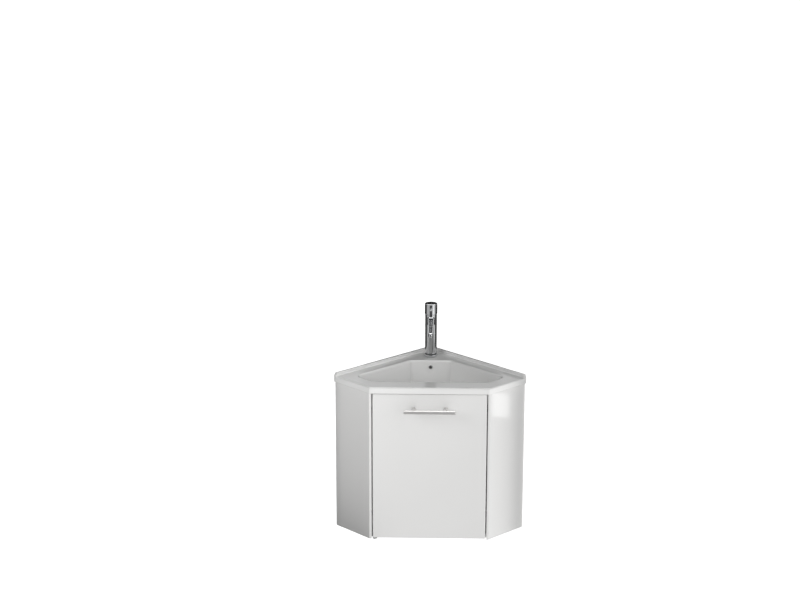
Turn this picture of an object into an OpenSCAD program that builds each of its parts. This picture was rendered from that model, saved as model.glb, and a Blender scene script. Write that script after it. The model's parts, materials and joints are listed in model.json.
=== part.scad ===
// Wall-hung corner vanity unit: a five-sided cabinet with one door, a basin, a tap and a waste.
// The two walls meet on the Z axis, the door faces -Y, and Z is 0 at the cabinet's underside.
// Inside in_walls(), x runs along the left wall from the corner, and y is the distance from that wall.

/* [Basin] */
// Length of the basin along each wall
wall_side = 415; // [400:1:450]
// Depth of the basin's straight sides, square to the walls
basin_return = 160; // [150:1:175]
// Thickness of the rim above the cabinet
rim_h = 20; // [18:1:28]
// Height of the splash lip above the deck
lip_h = 10; // [6:1:16]
// Width of the splash lip
lip_w = 9; // [7:1:14]
// Radius of the rim's top edge
rim_round = 5; // [3:1:6]
// Radius of the basin's two front corners
basin_corner_r = 8; // [7:1:14]
// Distance from the basin's front edge to the bowl
bowl_front_margin = 61; // [54:1:66]
// Distance from the basin's side edges to the bowl
bowl_side_margin = 50; // [44:1:56]
// Distance from each wall to the bowl
bowl_wall_margin = 48; // [42:1:54]
// Distance from the wall corner to the bowl's back facet
bowl_back = 131; // [129:1:138]
// Radius of the bowl's two back corners
bowl_corner_r = 10; // [8:1:12]
// Radius of the bowl's side and front corners
bowl_tip_r = 20; // [14:1:24]
// Radius of the bowl's upper edge
bowl_edge_r = 6; // [3:1:7]
// Depth of the bowl below the rim
bowl_depth = 115; // [95:1:120]
// Wall thickness of the bowl
basin_wall = 8; // [6:0.5:8.5]
// Thickness of the bowl's floor
floor_t = 12; // [12:1:14]
// Distance from the wall corner to the waste
waste_from_corner = 250; // [246:1:254]
// Distance from the wall corner to the tap hole
tap_from_corner = 80; // [76:1:88]
// Diameter of the tap hole
tap_hole_d = 35; // [33:1:36]
// Diameter of the overflow hole
overflow_d = 10; // [8:0.5:10]
// Depth of the overflow hole's centre below the rim
overflow_drop = 21; // [19:1:26]

/* [Cabinet] */
// How far the basin overhangs the cabinet at each side
side_overhang = 5; // [3:1:8]
// Depth of the cabinet's return panels, square to the walls
cab_return = 152; // [145:1:158]
// Height of the cabinet without the basin
cab_h = 470; // [460:1:560]
// Thickness of the boards
board = 16; // [15:0.5:18]
// Width of each return panel's edge that shows beside the door
front_strip = 7; // [5:0.5:8]
// Height of the two upper back rails
upper_rail_h = 90; // [80:1:95]
// Height of the two lower back rails
lower_rail_h = 80; // [60:1:90]
// Width of the upright of each lower rail, beside the return panel
upright_w = 170; // [150:5:180]
// Height of the front rail above the door opening
front_rail_h = 40; // [36:1:42]
// Thickness of the front rail
front_rail_t = 8; // [6:0.5:8]
// Diameter of the wall screw holes
wall_screw_d = 6; // [5:0.5:8]
// Distance from the wall corner to the wall screw holes
wall_screw_u = 300; // [260:1:320]

/* [Door] */
// Thickness of the door
door_t = 16; // [16:0.5:18]
// Gap between the door and each return panel
door_gap = 3.5; // [3:0.5:4]
// Gap below the basin and above the cabinet's underside
door_end_gap = 3.5; // [3:0.5:5]
// Radius of the door's front edges
door_edge_r = 2; // [1:0.5:3]
// Length of the bar handle
bar_len = 155; // [130:1:200]
// Diameter of the bar handle
bar_d = 12; // [10:1:14]
// Distance between the two handle posts
post_pitch = 96; // [96:32:128]
// Diameter of the handle posts
post_d = 10; // [8:1:10]
// Distance from the door's face to the middle of the bar
bar_standoff = 32; // [26:1:38]
// Distance from the door's top edge down to the bar
bar_drop = 46; // [40:1:80]
// Diameter of the hinge pivot pins
pivot_d = 6; // [5:0.5:6]

/* [Tap] */
// Diameter of the tap's upright body
tap_d = 37; // [36:0.5:42]
// Height of the tap body above the deck, up to the seam below the cap
tap_body_h = 138; // [130:1:180]
// Diameter of the handle cap
cap_d = 39.8; // [39:0.2:44]
// Height of the handle cap at the front
cap_h = 33.4; // [31:0.2:36]
// Distance from the tap's axis to the middle of the spout's outlet
spout_reach = 105; // [90:1:120]
// Diameter of the pin lever
lever_d = 6; // [5:0.5:7]
// Length of the pin lever beyond the cap
lever_len = 45; // [30:1:60]
// Upward slope of the pin lever in degrees
lever_rise = 6; // [0:1:12]
// How far the handle tilts when the water is turned on, in degrees
lift_angle = 20; // [15:1:20]

/* [Waste and trap] */
// Outer diameter of the threaded waste body
waste_d = 40; // [38:1:41]
// Diameter of the waste flange
waste_flange_d = 64; // [60:1:66]
// Outer diameter of the trap's bottle
bottle_d = 60; // [56:1:64]
// Outer diameter of the outlet pipe
pipe_d = 32; // [32:0.5:33]
// Distance from the waste's lower end down to the middle of the outlet pipe
outlet_drop = 65; // [55:1:75]

/* [Hidden] */

$fn = 64;
// Facets of the round shapes inside a hull
hull_fn = 32;
// Overrun of every cut past the face that it starts on
cut = 1;
// Thickness of the slices that a hull joins
slice = 0.01;
// Gap between parts of different bodies that pass or meet each other
clear = 0.3;
// Radial clearance of a running fit
running = 0.05;
r2 = norm([1, 1]);
// A quarter turn in degrees
quarter = 90;
// Corners of a hexagon, and how much wider it is over them than over its flats
hex_corners = 6;
hex_spread = 1 / cos(2 * quarter / hex_corners);

// Plan of the cabinet
cab_side = wall_side - side_overhang;
inside = cab_side - board;
strip = front_strip / r2;
front_y = -(cab_side + cab_return) / r2;
corner_x = (cab_side - cab_return) / r2;
door_half = corner_x - front_strip - door_gap;
door_back_y = front_y + door_t;
// Room between the door and what it closes against
close_gap = 2.5;
inner_front_y = door_back_y + close_gap;
door_top = cab_h - door_end_gap;

// Plan and heights of the basin
basin_front = (wall_side + basin_return) / r2;
rim_top = cab_h + rim_h;
lip_top = rim_top + lip_h;
lip_r = 2.5;
lip_end_slope = 5;
rim_under_r = 2;
round_steps = 5;
bowl_rings = 8;
bowl_edge_steps = 4;
floor_z = rim_top - bowl_depth;
// Floor outline to the corner circles' middles: how far behind and ahead of the waste, and half widths
floor_behind_waste = 78;
floor_widest_ahead = 18;
floor_ahead_of_waste = 47;
floor_back = waste_from_corner - floor_behind_waste;
floor_back_half = 46;
floor_side = waste_from_corner + floor_widest_ahead;
floor_side_half = 112;
floor_front = waste_from_corner + floor_ahead_of_waste;
floor_front_half = 92;
channel_d = 8;
channel_wall = 4;
channel_setback = 13;
ring_out = 1.2;
ring_wall = 1;
ring_t = 1.5;
ring_sleeve = 6;
ring_seat = 0.2;
// Distance from the wall corner to the bowl's back wall at the lower edge of the overflow ring
ring_wall_y = bowl_back + (floor_back - bowl_back)
    * (1 - sqrt(1 - pow((overflow_drop + overflow_d / 2 + ring_out) / bowl_depth, 2)));

// Carcass fittings
cam_d = 15;
cam_depth = 12.5;
cam_setback = 24;
cam_slot_w = 2;
cam_slot_l = 9;
cam_slot_depth = 1.5;
bolt_d = 6;
bolt_in_panel = 10;
bolt_in_cam = 4;
dowel_d = 8;
dowel_in_panel = 10;
dowel_in_rail = 20;
dowel_offset = 28;
rail_dowel_d = 5;
rail_dowel_half = 10;
rail_dowel_spacing = 20;
bottom_cam_v = [32, 110];
bottom_dowel_v = 71;
bracket_leg = 40;
bracket_t = 2;
bracket_h = 50;
screw_d = 3.5;
screw_len = 14;
screw_head_d = 7;
screw_head_h = 1.8;
screw_recess_d = 3;
screw_recess_h = 1;
bracket_screw_in = 12;
bracket_screw_out = 30;
upper_rail_z = cab_h - upper_rail_h;
lower_rail_z = board;
upper_bracket_z = upper_rail_z + (upper_rail_h - bracket_h) / 2;
lower_bracket_z = lower_rail_z + (lower_rail_h - bracket_h) / 2;
front_rail_z = cab_h - front_rail_h;

// Door, handle and hinge
pivot_in_x = 6;
pivot_in_y = 6;
pivot_x = -(door_half - pivot_in_x);
pivot_y = front_y + pivot_in_y;
pivot_plate_t = 2;
pivot_plate_r = 7;
pivot_plate_len = 44;
pivot_plate_depth = 7.5;
lower_plate_depth = 24;
pin_in_door = 12;
bush_wall = 1.5;
bush_len = 14;
plate_screw_d = 3;
plate_screw_head_d = 5.4;
plate_screw_head_h = 1.2;
plate_screw_len = 13;
plate_screw_spacing = 20;
bar_z = door_top - bar_drop;
bar_y = front_y - bar_standoff;
bar_chamfer = 1;
handle_screw_d = 4;
handle_screw_head_d = 8;
handle_screw_head_h = 2.5;
handle_screw_in_post = 10;
handle_screw_slot = 1.2;
catch_x = 130;
catch_w = 40;
catch_h = 12;
catch_len = 12;
pole_t = 1.5;
pole_out = 1;
magnet_w = 26;
strike_w = 30;
strike_t = 1;
buffer_d = 8;
buffer_in_x = 24;
buffer_drop = 12;

// Tap
tap_y = -tap_from_corner;
tap_r = tap_d / 2;
tap_gasket_t = 1;
tap_z = rim_top + tap_gasket_t;
seam_z = rim_top + tap_body_h;
seam_gap = 1.5;
cap_r = cap_d / 2;
cap_z = seam_z + seam_gap;
cap_top = cap_z + cap_h;
foot_out = 2.5;
foot_r = tap_r + foot_out;
foot_h = 4;
foot_flare_h = 10;
cap_wall = 3.7;
cap_edge = 1.5;
// The tilt axis lies this far above the cap's lower edge
tilt_rise = 8.3;
tilt_z = cap_z + tilt_rise;
cap_hollow_r = cap_r - cap_wall;
dome_gap = 0.4;
dome_r = cap_hollow_r - dome_gap;
dome_top_rise = 1;
ceiling_rise = 7;
lever_rise_z = 10;
lever_in_cap = 10;
lever_tip_r = 1;
cartridge_r = 12.5;
cartridge_len = 34;
dome_thread_r = 14;
dome_thread_h = 6;
dome_bore_r = 9;
rotor_r = 8;
rotor_h = 12;
rotor_sink = 8;
ear_t = 3;
ear_half = 4;
ear_rise = 3.5;
rotor_pin_d = 3;
rotor_pin_sink = 0.5;
spindle_w = 8;
spindle_hub_r = 4;
spindle_in_cap = 6;
grub_d = 5;
grub_len = 8;
grub_hex = 2.5;
plug_len = 3;
plug_sink = 0.6;
inlet_d = 9;
inlet_x = 8.5;
inlet_y = -3;
inlet_len = 12;
water_d = 6;
stud_d = 8;
stud_back = 10;
stud_in_body = 12;
stud_below = 30;
clamp_r = 24;
clamp_rubber_t = 3;
clamp_plate_t = 2;
clamp_slot_w = 26;
clamp_slot_back = 5;
tap_nut_af = 13;
tap_nut_h = 6.5;

// Spout: a rounded beak from the body to the outlet
spout_root_r = 11;
spout_root_low = 30;
spout_root_high = 2;
spout_root_edge = 8;
spout_tip_r = 7.5;
spout_tip_low = 45.5;
spout_tip_h = 13.8;
spout_tip_edge = 4.5;
edge_steps = 4;
aerator_r = 6;
aerator_h = 10;
aerator_out = 1;
aerator_wall = 1.2;
aerator_lip = 1.2;
aerator_holes = 6;
aerator_hole_d = 1.4;
aerator_hole_ring = 2.8;
water_rise = 8;

// Waste fitting
waste_hole_d = 45;
waste_r = waste_d / 2;
waste_wall = 2.5;
waste_in_r = waste_r - waste_wall;
seal_t = 2;
seal_inset = 2;
flange_t = 3;
flange_edge = 1.5;
waste_len = 55;
waste_low = floor_z - waste_len;
outlet_z = waste_low - outlet_drop;
lower_seal_t = 8;
lower_seal_r = 29;
waste_nut_h = 12;
waste_nut_af = 54;
stem_r = 4;
guide_r = 7;
guide_h = 8;
guide_low = 30;
guide_arm_w = 3;
plug_r = 30;
plug_t = 5;
plug_crown = 1.5;
plug_z = floor_z + seal_t + flange_t + clear;
stem_len = 48;
plug_travel = 8;
plug_seal_t = 3;
plug_seal_r = 16.5;
plug_edge = 1;

// Bottle trap
pipe_r = pipe_d / 2;
pipe_wall = 1.5;
pipe_in_r = pipe_r - pipe_wall;
spigot_step = 0.5;
spigot_r = pipe_r - spigot_step;
shoulder_gap = 1;
collar_t = 4;
trap_seal_t = 2;
inlet_nut_h = 24;
inlet_nut_r = 26;
inlet_nut_lip = 6;
nut_ribs = 12;
rib_r = 1.5;
dip_z = waste_low - trap_seal_t - collar_t;
dip_end_drop = 62;
bottle_r = bottle_d / 2;
bottle_wall = 2.5;
bottle_in_r = bottle_r - bottle_wall;
bottle_over = 30;
bottle_under = 40;
cover_t = 5;
neck_h = 7;
neck_wall = 4;
cup_h = 50;
cup_floor = 3;
cup_ring_h = 12;
cup_ring_out = 3;
cup_spigot_h = 10;
cup_spigot_t = 2;
cup_seal_t = 1.5;
socket_wall = 4;
socket_r = pipe_r + socket_wall;
socket_len = 24;
pipe_in_socket = 16;
outlet_nut_len = 20;
outlet_nut_lip = 5;
outlet_nut_r = 25;

white = [0.93, 0.93, 0.92];
lacquer = [0.90, 0.90, 0.89];
glaze = [0.88, 0.88, 0.88];
chrome = [0.72, 0.73, 0.75];
steel = [0.62, 0.63, 0.64];
brass = [0.72, 0.60, 0.34];
rubber = [0.12, 0.12, 0.12];
plastic = [0.85, 0.85, 0.84];
wood = [0.78, 0.64, 0.44];

// World place of a point given by its distances along and from the left wall
function at_walls(u, v) = [(v - u) / r2, -(u + v) / r2];

// Turns a shape drawn along the left wall into place
module in_walls() {
    rotate([0, 0, 225]) children();
}

// A shape and its mirror image across the cabinet's middle
module both_sides() {
    children();
    mirror([1, 0, 0]) children();
}

// A ring or disc with its lower face at z = 0
module ring(r_out, r_in, h) {
    difference() {
        cylinder(r = r_out, h = h);
        translate([0, 0, -cut]) cylinder(r = r_in, h = h + 2 * cut);
    }
}

// A screw that points down, with the underside of its head at z = 0; its seat has no driver recess
module screw(d, len, head_d, head_h, seat = false) {
    translate([0, 0, -len]) cylinder(d = d, h = len);
    difference() {
        cylinder(d = head_d, h = head_h);
        if (!seat)
            translate([0, 0, head_h - screw_recess_h])
                cylinder(d = screw_recess_d, h = screw_recess_h + cut, $fn = hex_corners);
    }
}

// Return panel with a narrow flush edge beside the door
module return_panel() {
    in_walls() linear_extrude(cab_h) polygon([
        [cab_side, 0],
        [cab_side, cab_return],
        [cab_side - strip, cab_return + strip],
        [inside, cab_return + 2 * strip - board],
        [inside, 0]
    ]);
}

// Cam locks of the left side, in the bottom panel and the two rails
module left_cams() {
    in_walls() {
        for (v = bottom_cam_v)
            translate([inside - cam_setback, v, board - cam_depth]) cylinder(d = cam_d, h = cam_depth);
        for (z = [upper_rail_z + upper_rail_h / 2, lower_rail_z + lower_rail_h / 2])
            translate([inside - cam_setback, board, z])
                rotate([90, 0, 0]) cylinder(d = cam_d, h = cam_depth);
    }
}

// Driver slots in the left cam locks
module left_cam_slots() {
    in_walls() {
        for (v = bottom_cam_v)
            translate([inside - cam_setback - cam_slot_l / 2, v - cam_slot_w / 2, board - cam_slot_depth])
                cube([cam_slot_l, cam_slot_w, cam_slot_depth + cut]);
        for (z = [upper_rail_z + upper_rail_h / 2, lower_rail_z + lower_rail_h / 2])
            translate([inside - cam_setback - cam_slot_l / 2, board - cam_slot_depth, z - cam_slot_w / 2])
                cube([cam_slot_l, cam_slot_depth + cut, cam_slot_w]);
    }
}

// Bolts that the left cams pull on
module left_cam_bolts() {
    len = cam_setback - cam_d / 2 + bolt_in_cam + bolt_in_panel;
    in_walls() {
        for (v = bottom_cam_v)
            translate([inside + bolt_in_panel - len, v, board / 2])
                rotate([0, 90, 0]) cylinder(d = bolt_d, h = len);
        for (z = [upper_rail_z + upper_rail_h / 2, lower_rail_z + lower_rail_h / 2])
            translate([inside + bolt_in_panel - len, board / 2, z])
                rotate([0, 90, 0]) cylinder(d = bolt_d, h = len);
    }
}

// Dowels of the left side: beside each cam, and in the end of the front rail
module left_dowels() {
    in_walls() {
        translate([inside - dowel_in_rail, bottom_dowel_v, board / 2])
            rotate([0, 90, 0]) cylinder(d = dowel_d, h = dowel_in_rail + dowel_in_panel);
        for (z = [upper_rail_z + upper_rail_h / 2, lower_rail_z + lower_rail_h / 2])
            translate([inside - dowel_in_rail, board / 2, z - dowel_offset])
                rotate([0, 90, 0]) cylinder(d = dowel_d, h = dowel_in_rail + dowel_in_panel);
    }
    end = at_walls(inside, -(inner_front_y + front_rail_t / 2) * r2 - inside);
    middle_z = front_rail_z + front_rail_h / 2;
    for (z = [middle_z - rail_dowel_spacing / 2, middle_z + rail_dowel_spacing / 2])
        translate([end[0] - rail_dowel_half, end[1], z])
            rotate([0, 90, 0]) cylinder(d = rail_dowel_d, h = 2 * rail_dowel_half);
}

// All cams, bolts and dowels, for cutting their seats
module carcass_fittings() {
    both_sides() {
        left_cams();
        left_cam_bolts();
        left_dowels();
    }
}

// Back rail along the left wall, mitred in the corner
module left_rail(z, h) {
    translate([0, 0, z]) in_walls() linear_extrude(h)
        polygon([[0, 0], [inside, 0], [inside, board], [board, board]]);
}

// Hole for a wall screw in the left rail
module left_wall_hole(z) {
    in_walls() translate([wall_screw_u, board + cut, z])
        rotate([90, 0, 0]) cylinder(d = wall_screw_d, h = board + 2 * cut);
}

// Upright of the left lower rail, which closes the back beside the return panel up to the upper rail
module left_upright() {
    translate([0, 0, lower_rail_z]) in_walls() linear_extrude(upper_rail_z - lower_rail_z)
        polygon([[inside - upright_w, 0], [inside, 0], [inside, board], [inside - upright_w, board]]);
}

// Takes the wall screw hole at height z and the fittings out of the left rails
module drilled_left(z) {
    color(white) difference() {
        union() children();
        left_wall_hole(z);
        carcass_fittings();
        bracket_screw_set(true);
    }
}

// Angle plate in the corner behind the rails
module corner_bracket(z) {
    translate([0, 0, z]) in_walls() difference() {
        translate([board, board, 0]) cube([bracket_leg, bracket_leg, bracket_h]);
        translate([board + bracket_t, board + bracket_t, -cut])
            cube([bracket_leg, bracket_leg, bracket_h + 2 * cut]);
    }
}

// Four screws of one corner bracket
module bracket_screws_at(z, seat) {
    both_sides() in_walls()
        for (dz = [bracket_screw_in, bracket_h - bracket_screw_in])
            translate([board + bracket_screw_out, board + bracket_t, z + dz])
                rotate([-90, 0, 0]) screw(screw_d, screw_len, screw_head_d, screw_head_h, seat);
}

module bracket_screw_set(seat = false) {
    bracket_screws_at(upper_bracket_z, seat);
    bracket_screws_at(lower_bracket_z, seat);
}

module left_return_panel() {
    color(lacquer) difference() {
        return_panel();
        carcass_fittings();
    }
}

module right_return_panel() {
    mirror([1, 0, 0]) left_return_panel();
}

module bottom_panel() {
    front_sum = -inner_front_y * r2;
    color(white) difference() {
        in_walls() linear_extrude(board) polygon([
            [0, 0],
            [inside, 0],
            [inside, front_sum - inside],
            [front_sum - inside, inside],
            [0, inside]
        ]);
        carcass_fittings();
        lower_pivot_form();
        pivot_plate_screw_set(true);
    }
}

module left_upper_rail() {
    drilled_left(upper_rail_z + upper_rail_h / 2) left_rail(upper_rail_z, upper_rail_h);
}

module right_upper_rail() {
    mirror([1, 0, 0]) left_upper_rail();
}

module left_lower_rail() {
    drilled_left(lower_rail_z + lower_rail_h / 2) {
        left_rail(lower_rail_z, lower_rail_h);
        left_upright();
    }
}

module right_lower_rail() {
    mirror([1, 0, 0]) left_lower_rail();
}

// Front rail between the return panels, behind the top of the door
module front_rail() {
    back_y = inner_front_y + front_rail_t;
    front_x = inside * r2 + inner_front_y;
    back_x = inside * r2 + back_y;
    color(white) difference() {
        translate([0, 0, front_rail_z]) linear_extrude(front_rail_h) polygon([
            [-front_x, inner_front_y],
            [front_x, inner_front_y],
            [back_x, back_y],
            [-back_x, back_y]
        ]);
        carcass_fittings();
        upper_pivot_form();
        pivot_plate_screw_set(true);
        catch_screw_set(true);
    }
}

module corner_brackets() {
    color(steel) difference() {
        union() {
            corner_bracket(upper_bracket_z);
            corner_bracket(lower_bracket_z);
        }
        bracket_screw_set(true);
    }
}

module bracket_screws() {
    color(steel) bracket_screw_set();
}

module cam_locks() {
    color(steel) both_sides() difference() {
        left_cams();
        left_cam_slots();
        left_cam_bolts();
    }
}

module cam_bolts() {
    color(steel) both_sides() left_cam_bolts();
}

module wood_dowels() {
    color(wood) both_sides() left_dowels();
}

// Rim slab with rounded front corners and a rounded top edge
module rim_form() {
    cu = wall_side - basin_corner_r;
    cv = wall_side + basin_return - basin_corner_r * r2 - cu;
    levels = concat(
        [[rim_under_r, cab_h], [0, cab_h + rim_under_r]],
        [for (i = [0 : round_steps]) let (a = quarter * i / round_steps)
            [rim_round * (1 - cos(a)), rim_top - rim_round * (1 - sin(a)) - slice]]
    );
    in_walls() hull() for (level = levels) translate([0, 0, level[1]]) {
        linear_extrude(slice) polygon([[0, 0], [wall_side - level[0], 0], [0, wall_side - level[0]]]);
        for (c = [[cu, cv], [cv, cu]])
            translate([c[0], c[1], 0]) cylinder(r = basin_corner_r - level[0], h = slice, $fn = hull_fn);
    }
}

// Splash lip along the left wall
module left_lip() {
    low = rim_top - rim_round;
    in_walls() intersection() {
        rotate([90, 0, 90]) linear_extrude(wall_side) union() {
            translate([0, low]) square([lip_w - lip_r, lip_top - low]);
            translate([0, low]) square([lip_w, lip_top - lip_r - low]);
            translate([lip_w - lip_r, lip_top - lip_r]) circle(r = lip_r);
        }
        translate([0, lip_w, 0]) rotate([90, 0, 0]) linear_extrude(lip_w) polygon([
            [0, low],
            [wall_side, low],
            [wall_side, rim_top],
            [wall_side - lip_end_slope, lip_top],
            [0, lip_top]
        ]);
    }
}

// Corner circles of the bowl at the rim and at the floor, left side, as places in plan
bowl_tip_u = wall_side - bowl_side_margin - bowl_tip_r;
bowl_back_v = bowl_wall_margin + bowl_corner_r;
bowl_radii = [bowl_corner_r, bowl_tip_r, bowl_tip_r];
bowl_rim_left = [
    at_walls((bowl_back + bowl_corner_r) * r2 - bowl_back_v, bowl_back_v),
    at_walls(bowl_tip_u, bowl_wall_margin + bowl_tip_r),
    at_walls(bowl_tip_u, (basin_front - bowl_front_margin - bowl_tip_r) * r2 - bowl_tip_u)
];
bowl_floor_left = [
    [-floor_back_half, -floor_back],
    [-floor_side_half, -floor_side],
    [-floor_front_half, -floor_front]
];

// One level of the bowl: t is 0 at the rim's outline and 1 at the floor's, grow widens it all round
module bowl_level(t, z, grow) {
    for (s = [1, -1], k = [0 : 2])
        let (p = bowl_rim_left[k] + (bowl_floor_left[k] - bowl_rim_left[k]) * t)
            translate([s * p[0], p[1], z]) cylinder(r = bowl_radii[k] + grow, h = slice, $fn = hull_fn);
}

// The bowl's inside when grow is 0, or its outside when grow is the wall thickness
module bowl_form(grow, extra_depth) {
    hull() for (i = [0 : bowl_rings])
        let (a = quarter * i / bowl_rings)
            bowl_level(1 - cos(a), rim_top - (bowl_depth + extra_depth) * sin(a), grow);
}

// Level i of the bowl's rounded upper edge, counted down from the deck
module bowl_edge_level(i) {
    let (a = quarter * i / bowl_edge_steps)
        bowl_level(0, rim_top - bowl_edge_r * (1 - cos(a)), bowl_edge_r * (1 - sin(a)));
}

// Overflow hole and the channel that leads from it to the waste
module overflow_channel() {
    hole_z = rim_top - overflow_drop;
    shaft_y = -bowl_back + channel_setback;
    low_z = floor_z - floor_t / 2;
    translate([0, shaft_y, hole_z]) rotate([90, 0, 0]) cylinder(d = overflow_d, h = 2 * channel_setback);
    translate([0, shaft_y, low_z]) cylinder(d = channel_d, h = hole_z - low_z);
    translate([0, shaft_y, low_z]) rotate([90, 0, 0])
        cylinder(d = channel_d, h = waste_from_corner + shaft_y);
}

// Thickened back of the bowl that holds the overflow channel
module channel_rib() {
    half = channel_d / 2 + channel_wall;
    shaft_y = -bowl_back + channel_setback;
    translate([-half, -floor_back, floor_z - floor_t])
        cube([2 * half, floor_back + shaft_y + half, rim_top - rim_h / 2 - floor_z + floor_t]);
}

module basin() {
    color(glaze) difference() {
        union() {
            rim_form();
            both_sides() left_lip();
            bowl_form(basin_wall, floor_t);
            channel_rib();
        }
        bowl_form(0, 0);
        for (i = [1 : bowl_edge_steps]) hull() {
            bowl_edge_level(i - 1);
            bowl_edge_level(i);
        }
        overflow_channel();
        translate([0, -waste_from_corner, floor_z - floor_t - cut])
            cylinder(d = waste_hole_d, h = floor_t + 2 * cut);
        translate([0, tap_y, cab_h - cut]) cylinder(d = tap_hole_d, h = rim_h + 2 * cut);
    }
}

module overflow_ring() {
    color(chrome) translate([0, -ring_wall_y - ring_seat, rim_top - overflow_drop]) rotate([90, 0, 0]) {
        ring(overflow_d / 2 + ring_out, overflow_d / 2 - ring_wall, ring_t);
        translate([0, 0, -ring_sleeve]) ring(overflow_d / 2, overflow_d / 2 - ring_wall, ring_sleeve);
    }
}

// Waste body: flange, threaded tube with overflow slots, and the guide for the plug's stem
module waste_body() {
    top = floor_z + seal_t + flange_t;
    flange_r = waste_flange_d / 2;
    color(chrome) translate([0, -waste_from_corner, 0]) difference() {
        union() {
            rotate_extrude() polygon([
                [waste_in_r, waste_low],
                [waste_r, waste_low],
                [waste_r, floor_z + seal_t],
                [flange_r, floor_z + seal_t],
                [flange_r, top - flange_edge],
                [flange_r - flange_edge, top],
                [waste_in_r, top]
            ]);
            translate([0, 0, floor_z - guide_low]) {
                cylinder(r = guide_r, h = guide_h);
                for (a = [0, 90])
                    rotate([0, 0, a]) translate([-waste_in_r - waste_wall / 2, -guide_arm_w / 2, 0])
                        cube([2 * waste_in_r + waste_wall, guide_arm_w, guide_h]);
            }
        }
        translate([0, 0, floor_z - guide_low - cut]) cylinder(r = stem_r + running, h = guide_h + 2 * cut);
        translate([0, 0, floor_z - floor_t / 2]) rotate([90, 0, 0])
            cylinder(d = channel_d, h = waste_d + 2 * cut, center = true);
    }
}

module waste_upper_seal() {
    color(rubber) translate([0, -waste_from_corner, floor_z])
        ring(waste_flange_d / 2 - seal_inset, waste_hole_d / 2 + seal_inset, seal_t);
}

module waste_lower_seal() {
    color(rubber) translate([0, -waste_from_corner, floor_z - floor_t - lower_seal_t])
        ring(lower_seal_r, waste_r, lower_seal_t);
}

module waste_nut() {
    color(chrome) translate([0, -waste_from_corner, floor_z - floor_t - lower_seal_t - waste_nut_h])
        difference() {
            cylinder(d = waste_nut_af * hex_spread, h = waste_nut_h, $fn = hex_corners);
            translate([0, 0, -cut]) cylinder(r = waste_r, h = waste_nut_h + 2 * cut);
        }
}

// Click plug: a crowned cap on a stem that slides in the waste's guide
module waste_plug() {
    color(chrome) translate([0, -waste_from_corner, plug_z]) rotate_extrude() polygon([
        [0, -stem_len],
        [stem_r, -stem_len],
        [stem_r, 0],
        [plug_r - plug_edge, 0],
        [plug_r, plug_edge],
        [plug_r, plug_t - plug_crown - plug_edge],
        [plug_r - plug_edge, plug_t - plug_crown],
        [plug_r / 2, plug_t - plug_crown / 4],
        [0, plug_t]
    ]);
}

module plug_seal() {
    color(rubber) translate([0, -waste_from_corner, plug_z - plug_seal_t])
        ring(plug_seal_r, stem_r, plug_seal_t);
}

// Grip ribs round a plastic nut
module nut_grip(r, h) {
    for (k = [0 : nut_ribs - 1])
        rotate([0, 0, 360 * k / nut_ribs]) translate([r, 0, 0]) cylinder(r = rib_r, h = h);
}

module trap_inlet_seal() {
    color(rubber) translate([0, -waste_from_corner, waste_low - trap_seal_t])
        ring(waste_r, pipe_in_r, trap_seal_t);
}

module trap_inlet_nut() {
    low = dip_z - inlet_nut_lip;
    color(plastic) translate([0, -waste_from_corner, low]) difference() {
        union() {
            cylinder(r = inlet_nut_r, h = inlet_nut_h);
            nut_grip(inlet_nut_r, inlet_nut_h);
        }
        translate([0, 0, -cut]) cylinder(r = pipe_r, h = inlet_nut_h);
        translate([0, 0, inlet_nut_lip]) cylinder(r = waste_r, h = inlet_nut_h);
    }
}

module trap_dip_tube() {
    end_z = outlet_z - dip_end_drop;
    color(plastic) translate([0, -waste_from_corner, 0]) {
        translate([0, 0, end_z]) ring(pipe_r, pipe_in_r, dip_z + collar_t - end_z);
        translate([0, 0, dip_z]) ring(waste_r, pipe_r, collar_t);
    }
}

// Moves a shape drawn along +Z to the trap's outlet, pointing at the left wall
module along_outlet() {
    translate([0, -waste_from_corner, outlet_z]) rotate([0, 0, 225]) rotate([90, 0, 0]) children();
}

module trap_body() {
    low = outlet_z - bottle_under;
    high = outlet_z + bottle_over;
    color(plastic) difference() {
        union() {
            translate([0, -waste_from_corner, low]) cylinder(r = bottle_r, h = high - low);
            translate([0, -waste_from_corner, high]) cylinder(r = pipe_r + neck_wall, h = neck_h);
            along_outlet() cylinder(r = socket_r, h = bottle_r + socket_len);
        }
        translate([0, -waste_from_corner, low - cut])
            cylinder(r = bottle_in_r, h = high - cover_t - low + cut);
        translate([0, -waste_from_corner, low]) cylinder(r = pipe_r, h = high + neck_h + cut - low);
        along_outlet() cylinder(r = pipe_in_r, h = bottle_r + socket_len + cut);
        along_outlet() translate([0, 0, bottle_r + socket_len - pipe_in_socket])
            cylinder(r = spigot_r, h = pipe_in_socket + cut);
    }
}

module trap_cup_seal() {
    color(rubber) translate([0, -waste_from_corner, outlet_z - bottle_under - cup_seal_t])
        ring(bottle_r, bottle_in_r, cup_seal_t);
}

module trap_cup() {
    top = outlet_z - bottle_under - cup_seal_t;
    low = top - cup_h;
    ring_r = bottle_r + cup_ring_out;
    color(plastic) translate([0, -waste_from_corner, 0]) difference() {
        union() {
            translate([0, 0, low]) cylinder(r = bottle_r, h = cup_h);
            translate([0, 0, top - cup_ring_h]) cylinder(r = ring_r, h = cup_ring_h);
            translate([0, 0, top - cup_ring_h]) nut_grip(ring_r, cup_ring_h);
            translate([0, 0, top]) cylinder(r = bottle_in_r, h = cup_spigot_h);
        }
        translate([0, 0, low + cup_floor])
            cylinder(r = bottle_in_r - cup_spigot_t, h = cup_h + cup_spigot_h);
    }
}

module trap_outlet_seal() {
    color(rubber) along_outlet() translate([0, 0, bottle_r + socket_len])
        ring(socket_r, spigot_r, trap_seal_t);
}

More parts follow.
